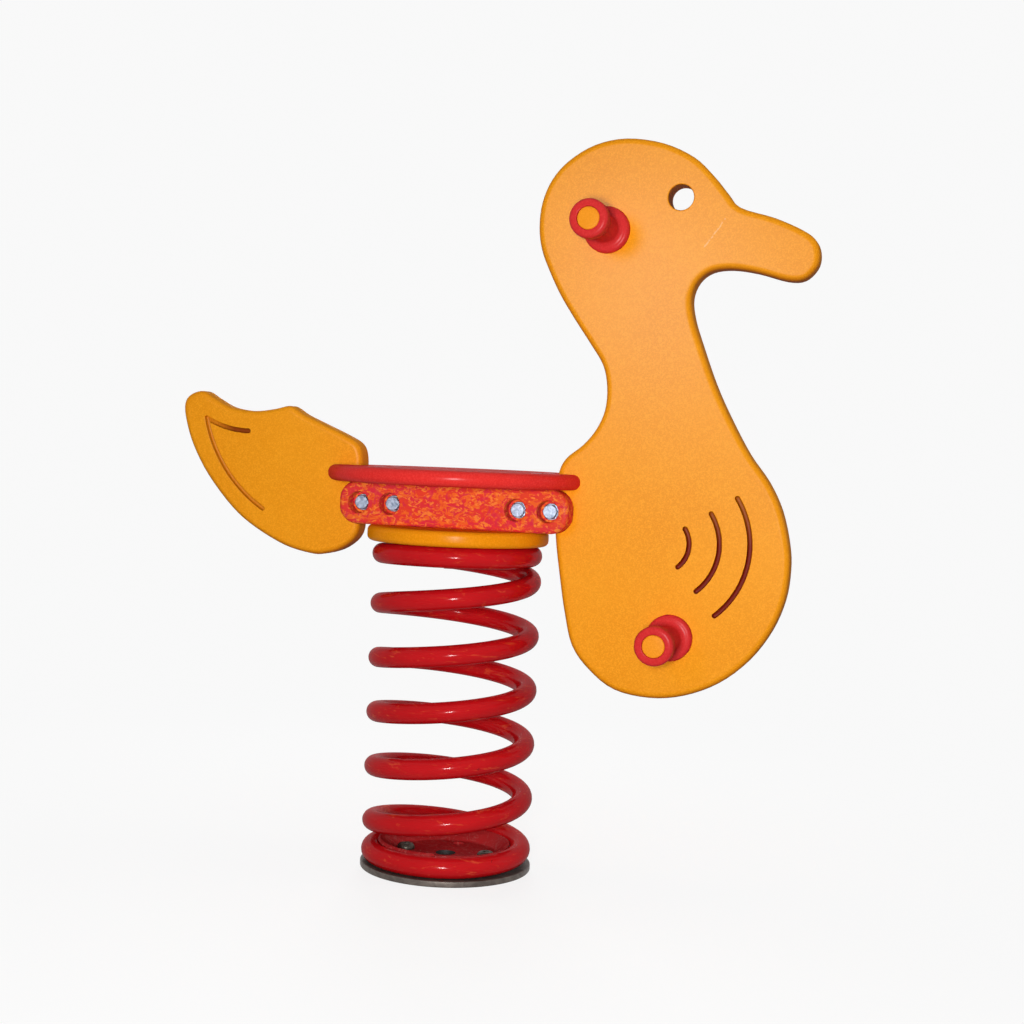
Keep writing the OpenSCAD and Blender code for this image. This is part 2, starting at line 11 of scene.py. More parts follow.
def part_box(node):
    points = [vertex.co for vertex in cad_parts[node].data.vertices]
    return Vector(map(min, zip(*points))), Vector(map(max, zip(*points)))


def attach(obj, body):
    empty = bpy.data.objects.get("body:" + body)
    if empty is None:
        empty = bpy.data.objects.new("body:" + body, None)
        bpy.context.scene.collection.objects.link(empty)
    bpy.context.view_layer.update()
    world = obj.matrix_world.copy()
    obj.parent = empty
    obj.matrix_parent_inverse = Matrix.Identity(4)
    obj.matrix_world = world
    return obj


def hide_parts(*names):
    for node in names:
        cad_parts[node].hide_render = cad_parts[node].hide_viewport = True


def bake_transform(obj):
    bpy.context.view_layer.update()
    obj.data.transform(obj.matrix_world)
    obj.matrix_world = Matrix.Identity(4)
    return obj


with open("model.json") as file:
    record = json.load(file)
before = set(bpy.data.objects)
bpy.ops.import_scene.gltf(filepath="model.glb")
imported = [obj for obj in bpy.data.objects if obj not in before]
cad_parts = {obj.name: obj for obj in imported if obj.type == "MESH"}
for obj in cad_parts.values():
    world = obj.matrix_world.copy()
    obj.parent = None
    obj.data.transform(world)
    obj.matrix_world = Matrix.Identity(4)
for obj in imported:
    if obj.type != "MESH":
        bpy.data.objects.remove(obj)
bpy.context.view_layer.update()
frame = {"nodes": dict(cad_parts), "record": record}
nodes = frame["nodes"]

# Sizes that the solids don't show by their boxes

# Panels, with their grooves, the eye, and the holes for bolts and rods
PANEL_HALF = 0.0125
PANEL_EDGE = 0.0055
GROOVE_DEPTH = 0.005
GROOVE_RIM = 0.0006
GROOVE_FOOT = 0.0016
GROOVE_POINT_GAP = 0.0006
GROOVE_CORNER_GAP = 0.0025
SHARP_CORNER = 55
DRILLED_RIM = 0.0003
EYE_RIM = 0.0012
WIDEST_BOLT_HOLE = 0.010
WIDEST_EYE = 0.026
SHORT_GROOVE_X = (-0.262, -0.240)
SHORT_GROOVE_Z = 0.410
BODY_GROOVES_Z = (0.330, 0.376)
# How dark their cut faces are, from 0, the colour of the sheet, to 1, that of the dark colour: in the grooves
# partly their own stain and partly painted shade, on the eye's wall and the cut sides painted shade
BODY_STAIN_AND_SHADE = 1.0
BODY_STAIN_AND_SHADE_FADE = 0.24
TAIL_STAIN_AND_SHADE = 0.36
SHORT_GROOVE_STAIN_AND_SHADE = 0.5
EYE_PAINTED_SHADE = 0.75
SIDE_PAINTED_SHADE = 0.7

# Side plates and frame bolts
SIDE_EDGE = 0.004
SIDE_RECESS = 0.016
RECESS_R = 0.0105
RECESS_RIM = 0.0012
RECESS_FOOT = 0.0008
BOLT_R = 0.004
BOLT_HOLE_R = 0.0043
BOLT_HEX = 0.013
BOLT_WASHER_R = 0.008
NUT_H = 0.0068
NUT_LIP = 0.0006
NUT_GAP = 0.0001
WASHER_EDGE = 0.0003
THREAD_PITCH = 0.00125
THREAD_DEPTH = 0.0005
THREAD_OVERLAP = 0.0002
THREAD_CHAMFER = 0.0008

# Mounting disc, and the seat with its slots and screws
DISC_EDGE = 0.005
SEAT_EDGE = 0.007
SLOT_GAP = 0.0005
SEAT_SCREW_R = 0.003
SEAT_HEAD_R = 0.006
SEAT_HEAD_H = 0.0032
SEAT_HEAD_GAP = 0.0003
SEAT_HEAD_EDGE = 0.0004
SLOT_REACH = 0.2

# Base plate
BASE_EDGE = 0.0012
BASE_RIM = 0.0006
MIDDLE_BORE_R = 0.010
ANCHOR_HOLE_R = 0.006

# Clamp plates, with the button-head screws of the lower one and the bolts of the upper one
CLAMP_T = 0.004
CLAMP_GAP = 0.003
CLAMP_LIP = 0.003
CLAMP_ANGLE = 40
CLAMP_BEND_R = 0.004
CLAMP_EDGE = 0.0011
CLAMP_SCREW_R = 0.005
CLAMP_HOLE_R = 0.0053
CLAMP_BOLT_HEX = 0.017
CLAMP_WASHER_R = 0.010
BUTTON_R = 0.00875
BUTTON_H = 0.0055
BUTTON_EDGE = 0.0003
BUTTON_FLAT = 0.56
BUTTON_STEP = 0.18
BUTTON_UNDER_R = 0.006
# Hexagon sockets: width across flats, chamfer, depth, and depth at the tip of the drill
SEAT_SOCKET = (0.004, 0.0003, 0.0024, 0.003)
BUTTON_SOCKET = (0.006, 0.0004, 0.0031, 0.0038)

# Grips and pegs, from the flange on the panel to the end, and the plugs in their ends
PEG_FLANGE_R = 0.022
PEG_FLANGE_T = 0.008
PEG_FLANGE_EDGE = 0.0006
PEG_WAIST_R = 0.0125
PEG_WAIST_DIP = 0.0003
PEG_END_R = 0.018
PEG_END_T = 0.015
PEG_EDGE = 0.0035
PEG_HOLLOW_R = 0.005
PLUG_SEAT_R = 0.0106
PLUG_SEAT_DEPTH = 0.0053
PLUG_SEAT_EDGE = 0.0008
PLUG_R = 0.0104
PLUG_T = 0.0045
PLUG_EDGE = 0.0012

# Spring
WIRE_SEAT = 0.0103
WIRE_R = 0.010
WIRE_END_EDGE = 0.0012
WIRE_SIDES = 28
COIL_R = 0.0735
COIL_PITCH = 0.0535
TURN_RINGS = 64
TIP_GAP = 0.0009
TIP_ANGLE = 149
EASE_TURNS = 0.5

# A short flat strip beside each rounded edge keeps the flat faces flat to the eye
HOLD = 0.0008
# Edges that turn by more than these degrees look sharp
SMOOTH_ANGLE = 34
FASTENER_ANGLE = 25
WIRE_ANGLE = 40
# Points closer than this are one point
WELD = 1e-6
# How far a cutting shape reaches through a piece, and past its faces
CUT_REACH = 0.03
CUT_PAST = 0.01
SINK_PAST = 0.002


def middle(node):
    low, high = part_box(node)
    return (low + high) / 2


# Shapes

def arc(x, y, r, start, end, steps):
    """Points of an arc, with its angles in degrees."""
    turns = [math.radians(start + (end - start) * i / steps) for i in range(steps + 1)]
    return [(x + r * math.cos(a), y + r * math.sin(a)) for a in turns]


def circle(x, y, r, steps=56):
    return arc(x, y, r, 0, 360, steps)[:-1]


def inset(loop, distance):
    """The anticlockwise loop moved inwards, or outwards where distance is below 0."""
    p = np.array(loop)
    before = p - np.roll(p, 1, 0)
    after = np.roll(p, -1, 0) - p
    n1 = np.stack([-before[:, 1], before[:, 0]], 1) / np.linalg.norm(before, axis=1)[:, None]
    n2 = np.stack([-after[:, 1], after[:, 0]], 1) / np.linalg.norm(after, axis=1)[:, None]
    way = n1 + n2
    way /= np.linalg.norm(way, axis=1)[:, None]
    reach = distance / np.maximum((way * n1).sum(1), 0.5)
    return [tuple(q) for q in p + way * reach[:, None]]


def inside(point, loop):
    x, y = point
    odd = False
    for (x0, y0), (x1, y1) in zip(loop, loop[1:] + loop[:1]):
        if (y0 > y) != (y1 > y) and x < x0 + (y - y0) * (x1 - x0) / (y1 - y0):
            odd = not odd
    return odd


class Skin:
    """A mesh in the making."""

    def __init__(self):
        self.points = []
        self.faces = []
        self.deep = []

    def ring(self, points, deep=None):
        first = len(self.points)
        self.points.extend(points)
        self.deep.extend(deep or [0.0] * len(points))
        return list(range(first, len(self.points)))

    def bridge(self, a, b):
        for i in range(len(a)):
            j = (i + 1) % len(a)
            self.faces.append((a[i], a[j], b[j], b[i]))

    def fan(self, ring, tip):
        for i in range(len(ring)):
            self.faces.append((ring[i], ring[(i + 1) % len(ring)], tip))

    def fill(self, flat, outer, holes):
        """Triangles between an outer ring and hole rings; flat gives the plane coordinates of each ring."""
        rings = [outer] + holes
        numbers = [i for r in rings for i in r]
        spots = [Vector(q) for loop in flat for q in loop]
        edges = []
        first = 0
        for r in rings:
            edges += [(first + i, first + (i + 1) % len(r)) for i in range(len(r))]
            first += len(r)
        out = delaunay_2d_cdt(spots, edges, [], 1, 1e-9)
        for tri in out[2]:
            at = sum((out[0][i] for i in tri), Vector((0, 0))) / len(tri)
            if inside(at, flat[0]) and not any(inside(at, h) for h in flat[1:]):
                self.faces.append(tuple(numbers[out[3][i][0]] for i in tri))

    def build(self, name, material, angle=SMOOTH_ANGLE):
        mesh = bpy.data.meshes.new(name)
        mesh.from_pydata([tuple(p) for p in self.points], [], self.faces)
        work = bmesh.new()
        work.from_mesh(mesh)
        bmesh.ops.recalc_face_normals(work, faces=work.faces)
        work.to_mesh(mesh)
        work.free()
        smooth(mesh, angle)
        if any(self.deep):
            mesh.attributes.new("deep", "FLOAT", "POINT").data.foreach_set("value", self.deep)
        mesh.materials.append(material)
        obj = bpy.data.objects.new(name, mesh)
        bpy.context.scene.collection.objects.link(obj)
        return obj


def smooth(mesh, angle):
    mesh.shade_smooth()
    mesh.set_sharp_from_angle(angle=math.radians(angle))


def quarter(steps=5):
    """Sines and cosines of a quarter turn, for rounded edges."""
    turns = [math.pi / 2 * i / steps for i in range(steps + 1)]
    return [(math.sin(a), math.cos(a)) for a in turns]


def sunk(loop, depth, rim, foot, stain_and_shade=None):
    """Rings of a pocket with a rounded rim and a rounded foot. stain_and_shade(u, v) is how dark it is
    inside: partly its own stain, partly painted shade.
    """
    dark = [stain_and_shade(u, v) if stain_and_shade else 0.0 for u, v in loop]
    rings = [(inset(loop, -rim - HOLD / 2), 0)]
    rings += [(inset(loop, -rim * (1 - s)), rim * (1 - c), [d * s * s for d in dark]) for s, c in quarter(3)]
    rings += [(inset(loop, foot * (1 - c)), depth - foot * (1 - s), dark) for s, c in quarter(4)]
    return {"rings": rings, "through": False}


def bored(loop, rim, dark=0.0):
    """Rings of a hole right through, with rounded rims. dark is how dark its wall is painted; the eye's wall
    gets painted shade.
    """
    rings = [(inset(loop, -rim - HOLD / 2), 0)]
    rings += [(inset(loop, -rim * (1 - s)), rim * (1 - c), [dark * s * s] * len(loop)) for s, c in quarter(4)]
    return {"rings": rings, "through": True}


def slab(place, thickness, outline, edge, near, far, dark=None):
    """A plate with rounded edges. place(u, v, depth) puts a point, depth is counted from the near face.
    near and far list the holes and pockets of the two faces; those that go through come in the same order.
    dark is how dark the cut side is painted at each point of the outline: painted shade, darkest where it
    faces down."""
    skin = Skin()
    ends = []
    for holes, sign in ((near, 1), (far, -1)):
        base = 0 if sign > 0 else thickness

        def put(loop, depth, deep=None):
            return skin.ring([place(u, v, base + sign * depth) for u, v in loop], deep)

        edges = [(inset(outline, edge + HOLD), 0)]
        for s, c in quarter():
            shade = [d * s * s for d in dark] if dark else None
            edges.append((inset(outline, edge * (1 - s)), edge * (1 - c), shade))
        rings = [put(*e) for e in edges]
        for a, b in zip(rings, rings[1:]):
            skin.bridge(a, b)
        flat = [edges[0][0]]
        mouths = []
        passing = [rings[-1]]
        for hole in holes:
            steps = [put(*r) for r in hole["rings"]]
            for a, b in zip(steps, steps[1:]):
                skin.bridge(a, b)
            flat.append(hole["rings"][0][0])
            mouths.append(steps[0])
            if hole["through"]:
                passing.append(steps[-1])
            else:
                skin.fill([hole["rings"][-1][0]], steps[-1], [])
        skin.fill(flat, rings[0], mouths)
        ends.append(passing)
    for a, b in zip(*ends):
        skin.bridge(a, b)
    return skin


def face_loops(node, y):
    """Edges of the flat face of a solid at that y, as anticlockwise loops of X and Z, the longest first."""
    work = bmesh.new()
    work.from_mesh(nodes[node].data)
    bmesh.ops.remove_doubles(work, verts=work.verts, dist=WELD)
    flat = {f for f in work.faces if all(abs(v.co.y - y) < 1e-5 for v in f.verts)}
    links = {}
    for e in work.edges:
        if sum(f in flat for f in e.link_faces) == 1:
            a, b = e.verts
            links.setdefault(a, []).append(b)
            links.setdefault(b, []).append(a)
    loops = []
    while links:
        first = next(iter(links))
        loop = [first]
        here, last = links[first][0], first
        while here is not first:
            loop.append(here)
            here, last = next(v for v in links[here] if v is not last), here
        for v in loop:
            links.pop(v, None)
        loops.append([(v.co.x, v.co.z) for v in loop])
    work.free()
    out = []
    for loop in loops:
        area = sum(x0 * y1 - x1 * y0 for (x0, y0), (x1, y1) in zip(loop, loop[1:] + loop[:1]))
        out.append(loop if area > 0 else loop[::-1])
    return sorted(out, key=lambda q: -len_across(q))


def thinned(loop, gap, clear):
    """The loop without points closer than gap to the one before, or closer than clear to a sharp corner."""
    kept = []
    for q in loop:
        if not kept or math.dist(q, kept[-1]) > gap:
            kept.append(q)
    while math.dist(kept[0], kept[-1]) < gap:
        kept.pop()
    corners = []
    for a, b, c in zip(kept[-1:] + kept, kept, kept[1:] + kept[:1]):
        turn = math.atan2(c[1] - b[1], c[0] - b[0]) - math.atan2(b[1] - a[1], b[0] - a[0])
        if abs(math.remainder(turn, math.tau)) > math.radians(SHARP_CORNER):
            corners.append(b)
    return [q for q in kept if q in corners or all(math.dist(q, c) > clear for c in corners)]


def len_across(loop):
    xs, ys = zip(*loop)
    return math.hypot(max(xs) - min(xs), max(ys) - min(ys))


def loop_middle(loop):
    xs, ys = zip(*loop)
    return (max(xs) + min(xs)) / 2, (max(ys) + min(ys)) / 2


def along(origin, axis):
    """A placing function for turned pieces: across, across, and along the axis from the origin."""
    origin, axis = Vector(origin), Vector(axis)
    side = Vector((1, 0, 0)) if abs(axis.x) < 0.9 else Vector((0, 1, 0))
    other = axis.cross(side)
    return lambda x, y, h: origin + side * x + other * y + axis * h


def turned(skin, place, profile, steps=72):
    """A turned shape through a profile of radius and height; a radius of 0 closes it."""
    last = None
    for r, h in profile:
        if r == 0:
            here = skin.ring([place(0, 0, h)])
        else:
            here = skin.ring([place(x, y, h) for x, y in circle(0, 0, r, steps)])
        if last is not None:
            if len(here) == 1:
                skin.fan(last, here[0])
            elif len(last) == 1:
                skin.fan(here, last[0])
            else:
                skin.bridge(last, here)
        last = here
    return last


HEX_TURNS = [10 * i for i in range(36)]
# The flat top of a head or nut as a share of its width, and the angle of the chamfer round it
HEX_TOP = 0.475
HEX_CHAMFER = 30
# Where the crests and the root of a thread lie in its pitch
CREST_END, ROOT, CREST_START = 0.2, 0.55, 0.9


def hexagon(across_flats):
    """Radii of a hexagon at each ten degrees, with a corner at the first."""
    return [across_flats / 2 / math.cos(math.radians(a % 60 - 30)) for a in HEX_TURNS]


def hex_ring(skin, place, radii, heights):
    """Points at each ten degrees. A single radius or height holds all the way round."""
    radii, heights = [v if isinstance(v, list) else [v] * len(HEX_TURNS) for v in (radii, heights)]
    return skin.ring([place(r * math.cos(math.radians(a)), r * math.sin(math.radians(a)), h)
                      for a, r, h in zip(HEX_TURNS, radii, heights)])


def hex_head(skin, place, across_flats, height, hole_r=0.0):
    """A bolt head from height 0 up, with the turned chamfer of a rolled hexagon. With a hole it is a nut."""
    flats = hexagon(across_flats)
    top_r = across_flats * HEX_TOP
    slope = math.tan(math.radians(HEX_CHAMFER))
    drop = [(r - top_r) * slope for r in flats]
    if hole_r:
        rings = [hex_ring(skin, place, top_r, 0), hex_ring(skin, place, flats, drop)]
    else:
        rings = [hex_ring(skin, place, flats, 0)]
    rings.append(hex_ring(skin, place, flats, [height - d for d in drop]))
    rings.append(hex_ring(skin, place, top_r, height))
    for a, b in zip(rings, rings[1:]):
        skin.bridge(a, b)
    if hole_r:
        lip = hole_r + NUT_LIP
        inner = [hex_ring(skin, place, r, h)
                 for r, h in ((lip, height), (hole_r, height - NUT_LIP), (hole_r, NUT_LIP), (lip, 0))]
        for a, b in zip([rings[-1]] + inner, inner + [rings[0]]):
            skin.bridge(a, b)
    else:
        # A ring within the flat top keeps it flat to the eye
        crown = hex_ring(skin, place, top_r * 0.7, height)
        skin.bridge(rings[-1], crown)
        skin.fan(crown, skin.ring([place(0, 0, height)])[0])
        skin.fan(rings[0], skin.ring([place(0, 0, 0)])[0])


def washer(skin, place, r, bore_r, t):
    e = WASHER_EDGE
    profile = [(bore_r, 0), (r - e, 0), (r, e), (r, t - e), (r - e, t), (bore_r + e, t), (bore_r, t - e)]
    rings = [skin.ring([place(x, y, h) for x, y in circle(0, 0, q, 40)]) for q, h in profile]
    for a, b in zip(rings, rings[1:] + rings[:1]):
        skin.bridge(a, b)


def thread(skin, place, r, start, end):
    """A threaded length that ends in a chamfer, as rings at the thread's pitch."""
    profile = [(0, start), (r, start)]
    h = start
    while h + THREAD_PITCH < end - THREAD_CHAMFER:
        for share, depth in ((CREST_END, 0), (ROOT, THREAD_DEPTH), (CREST_START, 0)):
            profile.append((r - depth, h + THREAD_PITCH * share))
        h += THREAD_PITCH
    profile += [(r, end - THREAD_CHAMFER), (r - THREAD_CHAMFER, end), (0, end)]
    turned(skin, place, profile, 36)


def socket_head(skin, place, profile, top, across_flats, edge, depth, tip):
    """A screw through a profile from its foot up, with a hexagon socket sunk from the top."""
    socket = hexagon(across_flats)
    rings = [hex_ring(skin, place, r, h) for r, h in profile]
    rings.append(hex_ring(skin, place, [r + edge for r in socket], top))
    rings += [hex_ring(skin, place, socket, top - deep) for deep in (edge, depth)]
    for a, b in zip(rings, rings[1:]):
        skin.bridge(a, b)
    skin.fan(rings[0], skin.ring([place(0, 0, profile[0][1])])[0])
    skin.fan(rings[-1], skin.ring([place(0, 0, top - tip)])[0])


# Finishes

def map_range(tree, start, end, low, high):
    node = tree.nodes.new("ShaderNodeMapRange")
    for key, number in (("From Min", start), ("From Max", end), ("To Min", low), ("To Max", high)):
        node.inputs[key].default_value = number
    return node


def linear(r, g, b):
    """A colour as seen on a screen, 0 to 255, in the renderer's linear values."""
    def one(v):
        v /= 255
        return v / 12.92 if v <= 0.04045 else ((v + 0.055) / 1.055) ** 2.4
    return one(r), one(g), one(b), 1


class Finish:
    """A node material, with the texture nodes that the finishes share."""

    def __init__(self, name, **sockets):
        self.material = bpy.data.materials.new(name)
        self.material.use_nodes = True
        self.tree = self.material.node_tree
        self.tree.nodes.clear()
        self.shader = self.tree.nodes.new("ShaderNodeBsdfPrincipled")
        out = self.tree.nodes.new("ShaderNodeOutputMaterial")
        self.link(self.shader.outputs["BSDF"], out.inputs["Surface"])
        for key, value in sockets.items():
            self.shader.inputs[key.replace("_", " ")].default_value = value
        self.spot = self.tree.nodes.new("ShaderNodeTexCoord").outputs["Object"]

    def link(self, a, b):
        self.tree.links.new(a, b)

    def stretched(self, scale):
        node = self.tree.nodes.new("ShaderNodeMapping")
        node.inputs["Scale"].default_value = scale
        self.link(self.spot, node.inputs["Vector"])
        return node.outputs["Vector"]

    def noise(self, scale, detail=3.0, rough=0.55, bend=0.0, spot=None):
        node = self.tree.nodes.new("ShaderNodeTexNoise")
        node.inputs["Scale"].default_value = scale
        node.inputs["Detail"].default_value = detail
        node.inputs["Roughness"].default_value = rough
        node.inputs["Distortion"].default_value = bend
        self.link(spot or self.spot, node.inputs["Vector"])
        return node.outputs["Fac"]

    def ramp(self, value, *stops):
        node = self.tree.nodes.new("ShaderNodeValToRGB")
        ramp = node.color_ramp
        while len(ramp.elements) < len(stops):
            ramp.elements.new(0.5)
        for element, (at, colour) in zip(ramp.elements, stops):
            element.position = at
            element.color = colour
        self.link(value, node.inputs["Fac"])
        return node.outputs["Color"]

    def between(self, value, low, high, start=0.3, end=0.7):
        node = map_range(self.tree, start, end, low, high)
        self.link(value, node.inputs["Value"])
        return node.outputs["Result"]

    def mix(self, share, a, b):
        node = self.tree.nodes.new("ShaderNodeMix")
        node.data_type = "RGBA"
        self.link(share, node.inputs["Factor"])
        for socket, value in ((node.inputs[6], a), (node.inputs[7], b)):
            if isinstance(value, tuple):
                socket.default_value = value
            else:
                self.link(value, socket)
        return node.outputs[2]

    def math(self, operation, a, b=0.0):
        node = self.tree.nodes.new("ShaderNodeMath")
        node.operation = operation
        for socket, value in zip(node.inputs, (a, b)):
            if isinstance(value, (int, float)):
                socket.default_value = value
            else:
                self.link(value, socket)
        return node.outputs["Value"]

    def scratch(self, start, end):
        """A broken line on the near face between two points in X and Z."""
        parts = self.tree.nodes.new("ShaderNodeSeparateXYZ")
        self.link(self.spot, parts.inputs["Vector"])
        way = (Vector(end) - Vector(start)).normalized()
        x = self.math("SUBTRACT", parts.outputs["X"], start[0])
        z = self.math("SUBTRACT", parts.outputs["Z"], start[1])
        ahead = self.math("ADD", self.math("MULTIPLY", x, way.x), self.math("MULTIPLY", z, way.y))
        aside = self.math("SUBTRACT", self.math("MULTIPLY", x, way.y), self.math("MULTIPLY", z, way.x))
        wander = self.math("MULTIPLY", self.math("SUBTRACT", self.noise(90.0, 2.0), 0.5), 0.004)
        off = self.math("ABSOLUTE", self.math("ADD", aside, wander))
        begun = self.math("GREATER_THAN", ahead, 0.0)
        within = self.math("MULTIPLY", begun, self.math("LESS_THAN", ahead, math.dist(start, end)))
        near = self.math("LESS_THAN", parts.outputs["Y"], -0.012)
        thin = self.between(off, 0.6, 0.0, 0.0002, 0.0009)
        broken = self.between(self.noise(330.0, 2.0), 0.0, 1.0, 0.46, 0.54)
        return self.math("MULTIPLY", self.math("MULTIPLY", within, near), self.math("MULTIPLY", thin, broken))

    def colour(self, value):
        self.link(value, self.shader.inputs["Base Color"])

    def roughness(self, value):
        self.link(value, self.shader.inputs["Roughness"])

    def bump(self, value, strength, height):
        node = self.tree.nodes.new("ShaderNodeBump")
        node.inputs["Strength"].default_value = strength
        node.inputs["Distance"].default_value = height
        self.link(value, node.inputs["Height"])
        earlier = self.shader.inputs["Normal"].links
        if earlier:
            self.link(earlier[0].from_socket, node.inputs["Normal"])
        self.link(node.outputs["Normal"], self.shader.inputs["Normal"])


def plastic(name, dark, light, rough, grain_scale, grain, gloss, speckle=0.5, stain_and_shade=None, scuff=None):
    """Moulded or sheet plastic: slow shade, fine speckle and grain, and a scuff. Where the deep attribute
    says, it turns to the stain_and_shade colour: partly stain and partly painted shade in the grooves,
    painted shade on the eye's wall and the cut sides.
    """
    f = Finish(name, Specular_IOR_Level=0.0, Coat_Weight=gloss, Coat_Roughness=sum(rough) / 2)
    slow = f.ramp(f.noise(9.0, 2.0), (0.3, linear(*dark)), (0.7, linear(*light)))
    speck = f.noise(grain_scale, 3.0, 0.75)
    pale = tuple(min(255, v + 20) for v in light)
    colour = f.mix(f.between(speck, 0.0, speckle, 0.45, 0.65), slow, linear(*pale))
    if scuff:
        colour = f.mix(f.scratch(*scuff), colour, linear(*SCUFF_PALE))
    # The deep attribute darkens towards this colour: partly stain and partly painted shade in the grooves,
    # painted shade on the eye's wall and the cut sides
    if stain_and_shade:
        deep = f.tree.nodes.new("ShaderNodeAttribute")
        deep.attribute_name = "deep"
        colour = f.mix(deep.outputs["Fac"], colour, linear(*stain_and_shade))
    f.colour(colour)
    f.roughness(f.between(f.noise(38.0, 4.0), rough[0], rough[1]))
    f.bump(f.noise(grain_scale, 3.0, 0.6), grain, 0.0004)
    f.bump(f.noise(14.0, 2.0), 0.06, 0.002)
    return f.material


def paint(name, dark, light, rough, scuff, chip, gloss, worn, lie):
    """Powder coat on steel: gloss, with the soft waves that it dries to, a few darker nicks, and scuffs.
    worn is the noise value from which it is scuffed, and lie stretches the scuffs."""
    f = Finish(name, Specular_IOR_Level=0.0, Coat_Weight=gloss, Coat_Roughness=sum(rough) / 2)
    slow = f.ramp(f.noise(17.0, 3.0), (0.3, linear(*dark)), (0.7, linear(*light)))
    nick = f.between(f.noise(150.0, 3.0, 0.65, 0.6), 0.0, 0.8, 0.715, 0.74)
    scuffed = f.between(f.noise(95.0, 5.0, 0.72, 1.4, f.stretched(lie)), 0.0, 0.6, worn, worn + 0.1)
    f.colour(f.mix(nick, f.mix(scuffed, slow, linear(*scuff)), linear(*chip)))
    f.roughness(f.between(f.noise(60.0, 4.0), rough[0], rough[1]))
    f.bump(f.noise(210.0, 2.0, 0.5), 0.10, 0.0005)
    return f.material


def steel(name, dark, light, rough, scale, grain, metallic=1.0):
    """Plated steel, with the crystals and stains of its plating."""
    f = Finish(name, Metallic=metallic)
    patches = f.ramp(f.noise(scale, 4.0, 0.6, 0.8), (0.32, linear(*dark)), (0.68, linear(*light)))
    f.colour(patches)
    f.roughness(f.between(f.noise(scale * 1.7, 4.0, 0.6), rough[0], rough[1]))
    f.bump(f.noise(scale * 4, 3.0, 0.6), grain, 0.0003)
    return f.material


def flecked(name):
    """Pressed from scrap sheet: red, with orange flakes, rosy patches and a grain that follows them."""
    f = Finish(name, Specular_IOR_Level=0.0, Coat_Weight=0.12, Coat_Roughness=0.36)
    flat = f.stretched((0.75, 1.0, 1.25))
    ground = f.ramp(f.noise(60.0, 3.0, 0.6, 0.5, flat),
                    (0.36, linear(214, 48, 62)), (0.50, linear(220, 56, 50)), (0.64, linear(222, 66, 42)))
    flakes = f.noise(125.0, 3.0, 0.62, 1.3, flat)
    colour = f.mix(f.between(flakes, 0.0, 0.9, 0.50, 0.58), ground, linear(233, 104, 38))
    bright = f.noise(175.0, 2.0, 0.62, 1.1, f.stretched((0.75, 1.0, 1.35)))
    colour = f.mix(f.between(bright, 0.0, 0.95, 0.55, 0.62), colour, linear(240, 132, 54))
    rosy = f.noise(115.0, 2.0, 0.6, 0.9, f.stretched((1.2, 1.1, 0.9)))
    f.colour(f.mix(f.between(rosy, 0.0, 0.8, 0.56, 0.64), colour, linear(212, 44, 68)))
    f.roughness(f.between(flakes, 0.34, 0.46))
    f.bump(flakes, 0.10, 0.0005)
    f.bump(f.noise(700.0, 2.0), 0.10, 0.0003)
    return f.material


# Ends of the scuff behind the beak, as X and Z on the near face, and its colour
SCUFF = ((0.2512, 0.6364), (0.2325, 0.6095))
SCUFF_PALE = (252, 206, 150)
finishes = {
    # The panels' dark colour (118, 24, 8) is partly groove stain and partly painted shade
    "panel_orange": plastic("panel_orange", (231, 141, 12), (238, 150, 18), (0.32, 0.38), 760.0, 0.12,
                            0.10, 0.8, (118, 24, 8), SCUFF),
    "seat_red": plastic("seat_red", (212, 37, 34), (222, 47, 42), (0.20, 0.28), 620.0, 0.08, 0.15),
    "flecked_red": flecked("flecked_red"),
    "disc_yellow": plastic("disc_yellow", (226, 133, 6), (233, 142, 12), (0.24, 0.30), 620.0, 0.08, 0.12),
    "spring_red": paint("spring_red", (182, 14, 20), (194, 20, 26), (0.11, 0.18), (218, 84, 48),
                        (98, 10, 14), 0.18, 0.58, (0.4, 0.4, 2.0)),
    "clamp_red": paint("clamp_red", (156, 28, 32), (172, 38, 40), (0.22, 0.32), (176, 84, 80),
                       (80, 12, 14), 0.10, 0.52, (1.6, 1.6, 1.6)),
    # Near black and not metal: painted shade for the wall of the lower clamp's middle bore
    "bore_painted_shade": steel("bore_painted_shade", (22, 18, 18), (38, 32, 30), (0.5, 0.7), 200.0, 0.2, 0.0),
    "grip_red": plastic("grip_red", (196, 36, 38), (206, 44, 44), (0.20, 0.28), 640.0, 0.08, 0.16),
    "plug_orange": plastic("plug_orange", (230, 136, 22), (237, 146, 30), (0.36, 0.44), 640.0, 0.10, 0.12),
    "zinc_steel": steel("zinc_steel", (116, 128, 148), (186, 198, 216), (0.34, 0.54), 300.0, 0.3),
    # A darker copy of zinc_steel: painted shade for the screws that lie inside the coil
    "zinc_painted_shade": steel("zinc_painted_shade", (66, 64, 58), (112, 108, 98), (0.42, 0.6), 300.0, 0.3),
    "base_steel": steel("base_steel", (74, 66, 62), (106, 97, 90), (0.42, 0.6), 70.0, 0.3, 0.7),
}
slot_of = {s["node"]: s["material_slot"] for s in frame["record"]["subparts"]}
body_of = {n: body for body, members in frame["record"]["behaviour"]["bodies"].items() for n in members}
for name, node in nodes.items():
    node.data.materials.clear()
    node.data.materials.append(finishes[slot_of[name]])


def dress(obj, *replaced):
    """The piece takes the place of solids: it rides on their body, and the solids are hidden."""
    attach(obj, body_of[replaced[0]])
    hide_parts(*replaced)
    return obj


def plated(skin, node, finish="zinc_steel"):
    """Fasteners that take the place of a solid."""
    dress(skin.build(node + "_plated", finishes[finish], FASTENER_ANGLE), node)


# Panels

